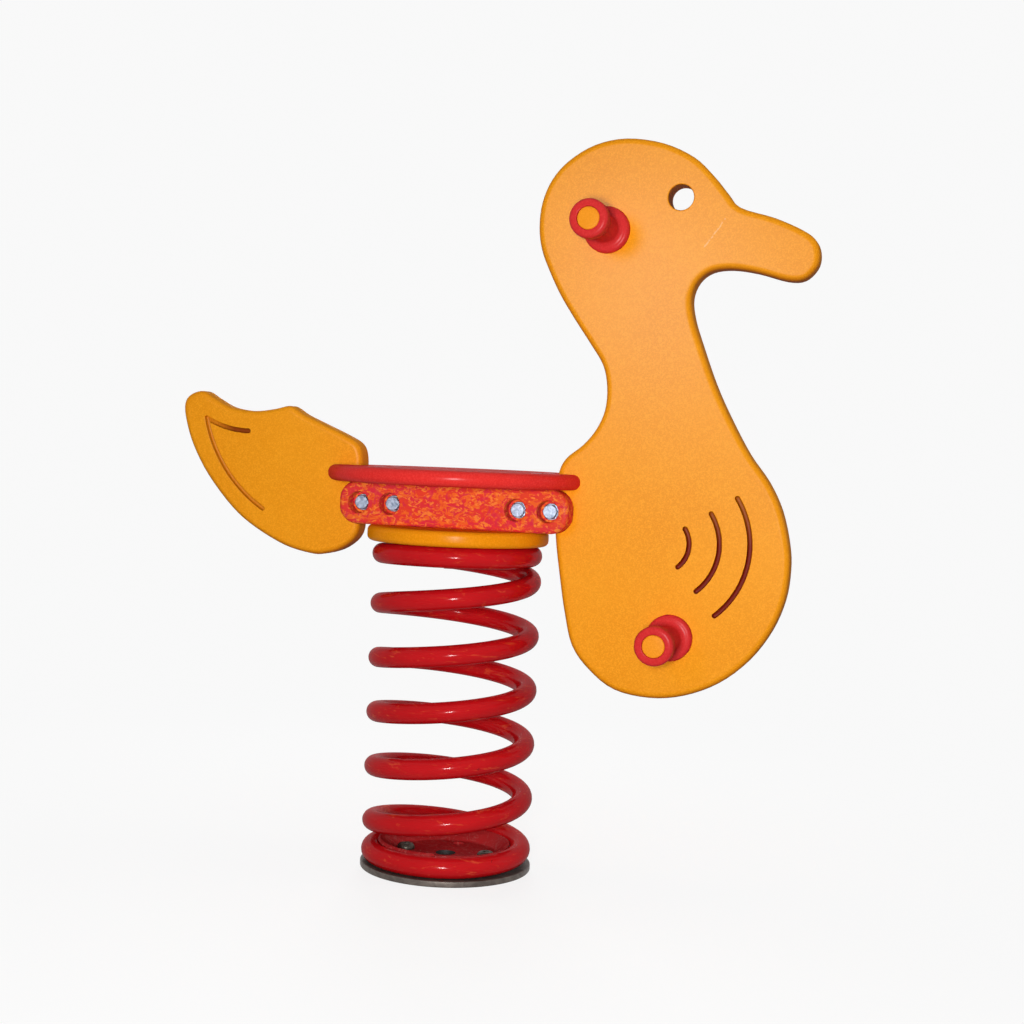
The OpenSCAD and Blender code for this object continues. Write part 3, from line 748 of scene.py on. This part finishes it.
def side_painted_shade(outline):
    """Painted shade on the cut side: darkest where it faces down."""
    step = 0.001
    rises = [(here[1] - within[1]) / step for here, within in zip(outline, inset(outline, step))]
    return [SIDE_PAINTED_SHADE * (1 - min(max(rise, -1), 1)) / 2 for rise in rises]


def panel(node, stain_and_shade):
    outline, *holes = face_loops(node, -PANEL_HALF)
    features = []
    for loop in holes:
        across = len_across(loop) / math.sqrt(2)
        if across < WIDEST_BOLT_HOLE:
            features.append(bored(circle(*loop_middle(loop), BOLT_HOLE_R, 24), DRILLED_RIM))
        elif across < WIDEST_EYE:
            # The eye's wall is darkened as painted shade
            features.append(bored(circle(*loop_middle(loop), across / 2, 72), EYE_RIM, EYE_PAINTED_SHADE))
        else:
            groove = thinned(loop, GROOVE_POINT_GAP, GROOVE_CORNER_GAP)
            features.append(sunk(groove, GROOVE_DEPTH, GROOVE_RIM, GROOVE_FOOT, stain_and_shade))
    # The cut sides get painted shade, darkest where they face down
    skin = slab(lambda u, v, depth: (u, depth - PANEL_HALF, v), 2 * PANEL_HALF, outline, PANEL_EDGE,
                features, features, side_painted_shade(outline))
    return dress(skin.build(node + "_routed", finishes["panel_orange"]), node)


def share_between(value, low, high):
    return min(max((value - low) / (high - low), 0), 1)


def body_stain_and_shade(x, z):
    """The breast's grooves, darkened partly by stain and partly by painted shade, are paler towards their
    upper ends.
    """
    return BODY_STAIN_AND_SHADE - BODY_STAIN_AND_SHADE_FADE * share_between(z, *BODY_GROOVES_Z)


def tail_stain_and_shade(x, z):
    """The tail's grooves are darkened partly by stain and partly by painted shade; the short groove is darker
    than the long one, most of all away from their corner.
    """
    if z < SHORT_GROOVE_Z:
        return TAIL_STAIN_AND_SHADE
    return TAIL_STAIN_AND_SHADE + SHORT_GROOVE_STAIN_AND_SHADE * share_between(x, *SHORT_GROOVE_X)


panels = [panel("body_panel", body_stain_and_shade), panel("tail_panel", tail_stain_and_shade)]


def side_plate(node):
    low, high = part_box(node)
    near_side = low.y < 0
    outer = low.y if near_side else high.y
    outline, *recesses = face_loops(node, outer)
    recessed, plain = [], []
    for loop in recesses:
        x, z = loop_middle(loop)
        rings = sunk(circle(x, z, RECESS_R), SIDE_RECESS, RECESS_RIM, RECESS_FOOT)["rings"]
        rings.append((circle(x, z, BOLT_HOLE_R), SIDE_RECESS))
        recessed.append({"rings": rings, "through": True})
        plain.append(bored(circle(x, z, BOLT_HOLE_R), DRILLED_RIM))
    sign = 1 if near_side else -1
    skin = slab(lambda u, v, depth: (u, outer + sign * depth, v), high.y - low.y, outline, SIDE_EDGE,
                recessed, plain)
    return dress(skin.build(node + "_pressed", finishes["flecked_red"]), node)


side_plate("side_plate_near")
side_plate("side_plate_far")


# Discs

def rounded_profile(r, low, high, edge):
    """Half section of a disc with a rounded rim, from its axis at the bottom to its axis at the top."""
    return ([(0, low), (r - edge - HOLD, low)]
            + arc(r - edge, low + edge, edge, -90, 0, 9)
            + arc(r - edge, high - edge, edge, 0, 90, 9)
            + [(r - edge - HOLD, high), (0, high)])


def box_cutter(low, high):
    skin = Skin()
    rings = [skin.ring([(x, y, z) for x, y in ((low[0], low[1]), (high[0], low[1]), (high[0], high[1]),
                                               (low[0], high[1]))]) for z in (low[2], high[2])]
    skin.bridge(*rings)
    skin.faces += [tuple(r) for r in rings]
    return skin


def round_cutter(x, y, r, low, high):
    skin = Skin()
    turned(skin, along((x, y, 0), (0, 0, 1)), [(0, low), (r, low), (r, high), (0, high)], 48)
    return skin


def cut(obj, cutters, finish=None):
    """Takes shapes out of a piece; finish is that of the cut faces, where it isn't the piece's own."""
    for skin in cutters:
        cutter = skin.build("cutter", finish or obj.data.materials[0])
        step = obj.modifiers.new("cut", "BOOLEAN")
        step.operation = "DIFFERENCE"
        step.solver = "EXACT"
        step.material_mode = "TRANSFER"
        step.object = cutter
        bpy.context.view_layer.update()
        done = bpy.data.meshes.new_from_object(obj.evaluated_get(bpy.context.evaluated_depsgraph_get()))
        obj.modifiers.clear()
        obj.data = done
        bpy.data.objects.remove(cutter)
    work = bmesh.new()
    work.from_mesh(obj.data)
    bmesh.ops.remove_doubles(work, verts=work.verts, dist=WELD)
    bmesh.ops.dissolve_degenerate(work, edges=work.edges, dist=WELD)
    work.to_mesh(obj.data)
    work.free()
    smooth(obj.data, SMOOTH_ANGLE)


low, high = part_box("mounting_disc")
skin = Skin()
profile = rounded_profile((high.y - low.y) / 2, low.z, high.z, DISC_EDGE)
turned(skin, along((0, 0, 0), (0, 0, 1)), profile, 144)
dress(skin.build("mounting_disc_turned", finishes["disc_yellow"]), "mounting_disc")

low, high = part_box("seat")
seat_r = (high.y - low.y) / 2
seat_x = (low.x + high.x) / 2
slot_half = PANEL_HALF + SLOT_GAP
body_face = face_loops("body_panel", -PANEL_HALF)[0]
tail_face = face_loops("tail_panel", -PANEL_HALF)[0]
# The slots take the panels at the seat's own height and a little above it
lowest, highest = low.z + 0.001, high.z + 0.015
beside_body = min(x for x, z in body_face if lowest < z < highest)
beside_tail = max(x for x, z in tail_face if lowest < z < highest)
skin = Skin()
turned(skin, along((seat_x, 0, 0), (0, 0, 1)), rounded_profile(seat_r, low.z, high.z, SEAT_EDGE), 160)
seat = skin.build("seat_turned", finishes["seat_red"])
under, over = low.z - CUT_PAST, high.z + CUT_PAST
cutters = [
    box_cutter((beside_body - SLOT_GAP, -slot_half, under), (SLOT_REACH, slot_half, over)),
    box_cutter((-SLOT_REACH, -slot_half, under), (beside_tail + SLOT_GAP, slot_half, over)),
]
screw_low, screw_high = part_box("seat_screws")
screw_spots = [(x, y) for x in (screw_low.x + SEAT_HEAD_R, screw_high.x - SEAT_HEAD_R)
               for y in (screw_low.y + SEAT_HEAD_R, screw_high.y - SEAT_HEAD_R)]
hole_r, sink_r = SEAT_SCREW_R + SEAT_HEAD_GAP, SEAT_HEAD_R + SEAT_HEAD_GAP
for x, y in screw_spots:
    profile = [(0, -CUT_REACH), (hole_r, -CUT_REACH), (hole_r, -SEAT_HEAD_H), (sink_r, 0),
               (sink_r, SINK_PAST), (0, SINK_PAST)]
    skin = Skin()
    turned(skin, along((x, y, high.z), (0, 0, 1)), profile, 48)
    cutters.append(skin)
cut(seat, cutters)
dress(seat, "seat")

screws = Skin()
for x, y in screw_spots:
    place = along((x, y, screw_high.z), (0, 0, 1))
    profile = [(SEAT_SCREW_R, screw_low.z - screw_high.z), (SEAT_SCREW_R, -SEAT_HEAD_H),
               (SEAT_HEAD_R - SEAT_HEAD_EDGE / 2, -SEAT_HEAD_EDGE), (SEAT_HEAD_R - SEAT_HEAD_EDGE, 0)]
    socket_head(screws, place, profile, 0, *SEAT_SOCKET)
plated(screws, "seat_screws")

low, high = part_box("base_plate")
screw_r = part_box("base_clamp_screws")[1].x - BUTTON_R
holes = [bored(circle(0, 0, MIDDLE_BORE_R, 48), BASE_RIM)]
holes += [bored(circle(0, sign * screw_r, ANCHOR_HOLE_R, 36), BASE_RIM) for sign in (-1, 1)]
outline = circle(0, 0, (high.x - low.x) / 2, 144)
skin = slab(lambda u, v, depth: (u, v, high.z - depth), high.z - low.z, outline, BASE_EDGE, holes, holes)
dress(skin.build("base_plate_cut", finishes["base_steel"]), "base_plate")


# Grips, pegs and their plugs

def peg_profile(length):
    end = length - PEG_END_T
    profile = [(0, 0), (PEG_FLANGE_R - PEG_FLANGE_EDGE, 0), (PEG_FLANGE_R, PEG_FLANGE_EDGE)]
    profile += arc(PEG_FLANGE_R - PEG_EDGE, PEG_FLANGE_T - PEG_EDGE, PEG_EDGE, 0, 90, 6)
    hollow_r = PEG_WAIST_R + PEG_HOLLOW_R
    profile += arc(hollow_r, PEG_FLANGE_T + PEG_HOLLOW_R, PEG_HOLLOW_R, -90, -180, 6)
    profile += [(PEG_WAIST_R - PEG_WAIST_DIP, (PEG_FLANGE_T + end) / 2)]
    profile += arc(hollow_r, end - PEG_HOLLOW_R, PEG_HOLLOW_R, 180, 90, 6)
    profile += arc(PEG_END_R - PEG_EDGE, end + PEG_EDGE, PEG_EDGE, -90, 0, 6)
    profile += arc(PEG_END_R - PEG_EDGE, length - PEG_EDGE, PEG_EDGE, 0, 90, 6)
    mouth_r = PLUG_SEAT_R + PLUG_SEAT_EDGE
    profile += [(mouth_r + HOLD / 2, length)]
    profile += arc(mouth_r, length - PLUG_SEAT_EDGE, PLUG_SEAT_EDGE, 90, 180, 3)
    profile += [(PLUG_SEAT_R, length - PLUG_SEAT_DEPTH), (0, length - PLUG_SEAT_DEPTH)]
    return profile


def plug_profile(low, high):
    """A plug with a rounded rim and a slightly crowned end."""
    flat_r = PLUG_R - PLUG_EDGE
    crown = [(flat_r - HOLD, high + 0.0001), (PLUG_R / 2, high + 0.0003), (0, high + 0.00035)]
    return [(0, low), (PLUG_R, low)] + arc(flat_r, high - PLUG_EDGE, PLUG_EDGE, 0, 90, 4) + crown


for kind in ("hand_grip", "foot_peg"):
    for side, sign in (("near", -1), ("far", 1)):
        node = f"{kind}_{side}"
        low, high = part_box(node)
        at = middle(node)
        foot = (at.x, sign * PANEL_HALF, at.z)
        skin = Skin()
        turned(skin, along(foot, (0, sign, 0)), peg_profile(high.y - low.y))
        dress(skin.build(node + "_moulded", finishes["grip_red"]), node)
    skin = Skin()
    end_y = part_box(kind + "_plugs")[1].y
    at = middle(kind + "_plugs")
    for sign in (-1, 1):
        turned(skin, along((at.x, 0, at.z), (0, sign, 0)), plug_profile(end_y - PLUG_T, end_y), 64)
    dress(skin.build(kind + "_plugs_pressed", finishes["plug_orange"]), kind + "_plugs")


# Fasteners that show

low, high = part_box("frame_bolts")
bolt_z = (low.z + high.z) / 2
washer_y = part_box("frame_washers")[1].y
outer_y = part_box("side_plate_near")[0].y
recess_y = -outer_y - SIDE_RECESS
bolts, washers, nuts = Skin(), Skin(), Skin()
for x in sorted(loop_middle(q)[0] for q in face_loops("side_plate_near", outer_y)[1:]):
    across = along((x, 0, bolt_z), (0, 1, 0))
    turned(bolts, across, [(0, -washer_y), (BOLT_R, -washer_y), (BOLT_R, washer_y), (0, washer_y)], 32)
    hex_head(bolts, along((x, -washer_y, bolt_z), (0, -1, 0)), BOLT_HEX, -washer_y - low.y)
    thread(bolts, across, BOLT_R, washer_y - THREAD_OVERLAP, high.y)
    for sign in (-1, 1):
        place = along((x, sign * recess_y, bolt_z), (0, sign, 0))
        washer(washers, place, BOLT_WASHER_R, BOLT_HOLE_R, washer_y - recess_y)
    hex_head(nuts, along((x, washer_y, bolt_z), (0, 1, 0)), BOLT_HEX, NUT_H, BOLT_R + NUT_GAP)
plated(bolts, "frame_bolts")
plated(washers, "frame_washers")
plated(nuts, "frame_nuts")

low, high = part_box("base_clamp_screws")
head_z = high.z - BUTTON_H
flat_r = BUTTON_R * BUTTON_FLAT
screws = Skin()
for sign in (-1, 1):
    place = along((sign * screw_r, 0, 0), (0, 0, 1))
    shank = [(0, low.z), (CLAMP_SCREW_R - THREAD_CHAMFER, low.z), (CLAMP_SCREW_R, low.z + THREAD_CHAMFER),
             (CLAMP_SCREW_R, head_z), (0, head_z)]
    turned(screws, place, shank, 36)
    profile = [(BUTTON_UNDER_R, head_z), (BUTTON_R - BUTTON_EDGE, head_z), (BUTTON_R, head_z + BUTTON_EDGE)]
    for s, c in quarter(8):
        rise = BUTTON_STEP + (1 - BUTTON_STEP) * s
        profile.append((flat_r + (BUTTON_R - flat_r) * c, head_z + BUTTON_H * rise))
    socket_head(screws, place, profile, high.z, *BUTTON_SOCKET)
# The clamp screws take the darker copy of the zinc, as painted shade
plated(screws, "base_clamp_screws", "zinc_painted_shade")

low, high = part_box("upper_clamp_bolts")
washer_low, washer_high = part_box("upper_clamp_washers")
clamp_x = washer_high.x - CLAMP_WASHER_R
clamp_y = washer_high.y - CLAMP_WASHER_R
clamp_spots = [(x, y) for x in (-clamp_x, clamp_x) for y in (-clamp_y, clamp_y)]
shank = [(0, washer_low.z), (CLAMP_SCREW_R, washer_low.z), (CLAMP_SCREW_R, high.z), (0, high.z)]
washer_t = washer_high.z - washer_low.z
bolts, washers = Skin(), Skin()
for x, y in clamp_spots:
    turned(bolts, along((x, y, 0), (0, 0, 1)), shank, 36)
    hex_head(bolts, along((x, y, washer_low.z), (0, 0, -1)), CLAMP_BOLT_HEX, washer_low.z - low.z)
    washer(washers, along((x, y, washer_low.z), (0, 0, 1)), CLAMP_WASHER_R, CLAMP_HOLE_R, washer_t)
plated(bolts, "upper_clamp_bolts")
plated(washers, "upper_clamp_washers")


# Spring

low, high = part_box("coil_spring")
wire_low = low.z + WIRE_R
wire_high = high.z - WIRE_R
flat_turns = 1 - EASE_TURNS / 2 - (2 * WIRE_R + TIP_GAP) / COIL_PITCH
turns = 2 * flat_turns + EASE_TURNS + (wire_high - wire_low) / COIL_PITCH


def eased(v):
    if v <= 0:
        return 0
    return COIL_PITCH * v * v / (2 * EASE_TURNS) if v < EASE_TURNS else COIL_PITCH * (v - EASE_TURNS / 2)


def wire_height(u):
    if u < turns / 2:
        return wire_low + eased(u - flat_turns)
    return wire_high - eased(turns - u - flat_turns)


def wire_middle(u):
    a = math.radians(TIP_ANGLE + 360 * u)
    return Vector((COIL_R * math.cos(a), COIL_R * math.sin(a), wire_height(u)))


def wire_ring(skin, u, r, ahead=0.0):
    a = math.radians(TIP_ANGLE + 360 * u)
    step = 0.001
    along_wire = (wire_middle(u + step) - wire_middle(u - step)).normalized()
    out = Vector((math.cos(a), math.sin(a), 0))
    up = out.cross(along_wire)
    spot = wire_middle(u) + along_wire * ahead
    return skin.ring([spot + out * x + up * y for x, y in circle(0, 0, r, WIRE_SIDES)])


def wire(name, start, end, tip_first):
    """A length of the wire; its free end is cut square, with a small round on the cut."""
    skin = Skin()
    rings = []
    steps = round((end - start) * TURN_RINGS)
    tip = [(WIRE_R - WIRE_END_EDGE * (1 - s), WIRE_END_EDGE * (1 - c)) for s, c in quarter(4)]
    if tip_first:
        rings += [wire_ring(skin, start, r, depth) for r, depth in tip]
    for i in range(1, steps + 1) if tip_first else range(steps):
        rings.append(wire_ring(skin, start + (end - start) * i / steps, WIRE_R))
    if not tip_first:
        rings += [wire_ring(skin, end, r, -depth) for r, depth in reversed(tip)]
    for a, b in zip(rings, rings[1:]):
        skin.bridge(a, b)
    for ring, at in ((rings[0], start), (rings[-1], end)):
        skin.fan(ring, skin.ring([wire_middle(at)])[0])
    return skin.build(name, finishes["spring_red"], WIRE_ANGLE)


def filleted(corners, radii):
    """A path with each inner corner rounded."""
    path = [corners[0]]
    for before, here, after, r in zip(corners, corners[1:], corners[2:], radii):
        b, h, a = Vector(before), Vector(here), Vector(after)
        into, onward = (h - b).normalized(), (a - h).normalized()
        turn = into.angle(onward)
        reach = r * math.tan(turn / 2)
        start, end = h - into * reach, h + onward * reach
        for i in range(6):
            t = i / 5
            path.append(tuple(start.lerp(h, t).lerp(h.lerp(end, t), t)))
    return path + [corners[-1]]


def dish(node, level, up, rise_from, rise_to, holes, bore=None):
    """A clamp plate. Its lip is cut back between two angles, where the wire rises past it.
    The wall of the bore in its middle is painted near black: painted shade."""
    slope = math.tan(math.radians(CLAMP_ANGLE))
    sine, cosine = math.sin(math.radians(CLAMP_ANGLE)), math.cos(math.radians(CLAMP_ANGLE))
    bear = Vector((COIL_R - WIRE_SEAT * cosine, WIRE_SEAT + WIRE_SEAT * sine))
    under = bear + CLAMP_LIP * Vector((sine, cosine))
    top = under + CLAMP_T * Vector((-cosine, sine))
    floor_top = CLAMP_GAP + CLAMP_T
    under_r = bear.x - (bear.y - CLAMP_GAP) * slope
    floor_r = top.x - (top.y - floor_top) * slope
    cut_r = COIL_R - WIRE_SEAT
    cut_under = (cut_r, CLAMP_GAP + (cut_r - under_r) / slope)
    cut_top = (cut_r, floor_top + (cut_r - floor_r) / slope)
    profiles = []
    for lip_under, lip_top in ((under, top), (cut_under, cut_top)):
        corners = [(0, CLAMP_GAP), (under_r, CLAMP_GAP), tuple(lip_under), tuple(lip_top),
                   (floor_r, floor_top), (0, floor_top)]
        profiles.append(filleted(corners, [CLAMP_BEND_R, CLAMP_EDGE, CLAMP_EDGE, CLAMP_BEND_R]))
    whole, short = profiles
    start, end = rise_from % 360, rise_from % 360 + (rise_to - rise_from)
    steps = 80
    columns = [(start + (end - start) * i / steps, short) for i in range(steps + 1)]
    columns += [(end + (start + 360 - end) * i / steps, whole) for i in range(steps + 1)]
    skin = Skin()
    poles = [skin.ring([(0, 0, level + up * h)])[0] for h in (CLAMP_GAP, floor_top)]
    lines = []
    for angle, profile in columns:
        c, s = math.cos(math.radians(angle)), math.sin(math.radians(angle))
        lines.append(skin.ring([(r * c, r * s, level + up * h) for r, h in profile[1:-1]]))
    for a, b in zip(lines, lines[1:] + lines[:1]):
        skin.faces += [(a[i], a[i + 1], b[i + 1], b[i]) for i in range(len(a) - 1)]
        skin.faces += [(poles[0], b[0], a[0]), (poles[1], a[-1], b[-1])]
    obj = skin.build(node + "_pressed", finishes["clamp_red"])
    reach = sorted((level, level + up * CUT_REACH))
    cut(obj, [round_cutter(x, y, r, *reach) for x, y, r in holes])
    # The bore's wall is painted near black as painted shade
    if bore:
        cut(obj, [round_cutter(0, 0, bore, *reach)], finishes["bore_painted_shade"])
    return dress(obj, node)


full_turn = TIP_ANGLE + 360 * turns
dish("lower_clamp_plate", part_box("base_plate")[1].z, 1, TIP_ANGLE + 360 * flat_turns, TIP_ANGLE + 360,
     [(q * screw_r, 0, CLAMP_HOLE_R) for q in (-1, 1)] + [(0, q * screw_r, ANCHOR_HOLE_R) for q in (-1, 1)],
     MIDDLE_BORE_R)
dish("upper_clamp_plate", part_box("mounting_disc")[0].z, -1, full_turn - 360, full_turn - 360 * flat_turns,
     [(x, y, CLAMP_HOLE_R) for x, y in clamp_spots])

lower_half = wire("coil_spring_lower", 0, turns / 2, True)
upper_half = wire("coil_spring_upper", turns / 2, turns, False)
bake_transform(lower_half)
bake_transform(upper_half)
for half in (lower_half, upper_half):
    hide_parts("coil_spring")


# Studio

def area_light(name, at, aim, size, power):
    lamp = bpy.data.lights.new(name, "AREA")
    lamp.shape = "DISK"
    lamp.size = size
    lamp.energy = power
    obj = bpy.data.objects.new(name, lamp)
    obj.location = at
    obj.rotation_euler = (Vector(aim) - Vector(at)).to_track_quat("-Z", "Y").to_euler()
    obj.visible_camera = False
    bpy.context.scene.collection.objects.link(obj)
    return obj


area_light("front_lamp", (0.42, -1.68, 0.41), (0.03, 0, 0.34), 0.25, 24.2)
# Weaker lamps for the far face and the two ends, which show in no gloss
for name, at, power in (("back_lamp", (-0.7, 2.2, 0.9), 34.0), ("beak_lamp", (2.1, 0.5, 0.8), 7.0),
                        ("tail_lamp", (-2.1, 0.5, 0.8), 7.0)):
    area_light(name, at, (0.03, 0, 0.40), 1.0, power).visible_glossy = False
# A softbox that shows only as the sheen of the panels
sheen = area_light("sheen_lamp", (-0.11, -1.54, 0.74), (0.10, 0, 0.54), 0.30, 37.0)
sheen.visible_diffuse = False
lit = bpy.data.collections.new("sheen_lamp_lights")
for obj in panels:
    lit.objects.link(obj)
sheen.light_linking.receiver_collection = lit

# Brightness of the backdrop, and of the floor, which fades into it between two distances from the rider
PALE = 0.945
FLOOR_MATT = 0.2
FLOOR_GLOW = 0.80
FLOOR_R = 12
FLOOR_FADE = (0.2, 1.0)
# The soft light from all round: none below this height, where straight up is 1, and this strength straight up
SOFT_FROM = -0.15
SOFT_TOP = 0.40


def grey(level):
    return level, level, level, 1


def join(tree, *pairs):
    for a, b in pairs:
        tree.links.new(a, b)


def backdrop_rays(tree):
    """1 for rays that show the backdrop: to the camera, in a mirror finish, or through glass."""
    path = tree.nodes.new("ShaderNodeLightPath")
    either = [tree.nodes.new("ShaderNodeMath") for _ in range(2)]
    for node in either:
        node.operation = "MAXIMUM"
    join(tree,
         (path.outputs["Is Camera Ray"], either[0].inputs[0]),
         (path.outputs["Is Glossy Ray"], either[0].inputs[1]),
         (either[0].outputs["Value"], either[1].inputs[0]),
         (path.outputs["Is Transmission Ray"], either[1].inputs[1]))
    return either[1].outputs["Value"]


world = bpy.data.worlds.new("studio")
bpy.context.scene.world = world
world.use_nodes = True
tree = world.node_tree
tree.nodes.clear()
out = tree.nodes.new("ShaderNodeOutputWorld")
seen = tree.nodes.new("ShaderNodeBackground")
seen.inputs["Color"].default_value = grey(PALE)
soft = tree.nodes.new("ShaderNodeBackground")
soft.inputs["Color"].default_value = grey(1)
spot = tree.nodes.new("ShaderNodeTexCoord")
parts = tree.nodes.new("ShaderNodeSeparateXYZ")
height = map_range(tree, SOFT_FROM, 1.0, 0.0, SOFT_TOP)
pick = tree.nodes.new("ShaderNodeMixShader")
join(tree,
     (spot.outputs["Generated"], parts.inputs["Vector"]),
     (parts.outputs["Z"], height.inputs["Value"]),
     (height.outputs["Result"], soft.inputs["Strength"]),
     (backdrop_rays(tree), pick.inputs["Fac"]),
     (soft.outputs["Background"], pick.inputs[1]),
     (seen.outputs["Background"], pick.inputs[2]),
     (pick.outputs["Shader"], out.inputs["Surface"]))

# The floor takes the shadow near the rider, and is as pale as the backdrop further out
floor_mesh = bpy.data.meshes.new("floor")
work = bmesh.new()
bmesh.ops.create_circle(work, cap_ends=True, radius=FLOOR_R, segments=96)
work.to_mesh(floor_mesh)
work.free()
floor = bpy.data.objects.new("floor", floor_mesh)
bpy.context.scene.collection.objects.link(floor)
pale = bpy.data.materials.new("floor")
pale.use_nodes = True
tree = pale.node_tree
tree.nodes.clear()
out = tree.nodes.new("ShaderNodeOutputMaterial")
spot = tree.nodes.new("ShaderNodeTexCoord")
far = tree.nodes.new("ShaderNodeVectorMath")
far.operation = "LENGTH"
fade = map_range(tree, *FLOOR_FADE, 0.0, 1.0)
fade.interpolation_type = "SMOOTHSTEP"
matt = tree.nodes.new("ShaderNodeBsdfDiffuse")
matt.inputs["Color"].default_value = grey(FLOOR_MATT)
glow = tree.nodes.new("ShaderNodeEmission")
glow.inputs["Color"].default_value = grey(FLOOR_GLOW)
both = tree.nodes.new("ShaderNodeAddShader")
plain = tree.nodes.new("ShaderNodeEmission")
plain.inputs["Color"].default_value = grey(PALE)
seen = tree.nodes.new("ShaderNodeMath")
seen.operation = "MULTIPLY"
pick = tree.nodes.new("ShaderNodeMixShader")
backdrop = backdrop_rays(tree)
join(tree,
     (spot.outputs["Object"], far.inputs[0]),
     (far.outputs["Value"], fade.inputs["Value"]),
     (fade.outputs["Result"], seen.inputs[0]),
     (backdrop, seen.inputs[1]),
     (backdrop, glow.inputs["Strength"]),
     (matt.outputs["BSDF"], both.inputs[0]),
     (glow.outputs["Emission"], both.inputs[1]),
     (seen.outputs["Value"], pick.inputs["Fac"]),
     (both.outputs["Shader"], pick.inputs[1]),
     (plain.outputs["Emission"], pick.inputs[2]),
     (pick.outputs["Shader"], out.inputs["Surface"]))
floor_mesh.materials.append(pale)

lens = bpy.data.cameras.new("camera")
lens.sensor_width = 36
lens.lens = 57.8
lens.clip_start = 0.05
lens.clip_end = 60
camera = bpy.data.objects.new("camera", lens)
camera.matrix_world = Matrix((
    (0.961147, -0.050372, 0.271401, 0.48838),
    (0.272893, 0.025447, -0.961708, -1.53957),
    (0.041536, 0.998406, 0.038204, 0.41461),
    (0, 0, 0, 1),
))
bpy.context.scene.collection.objects.link(camera)
bpy.context.scene.camera = camera
bpy.context.scene.view_settings.view_transform = "Standard"
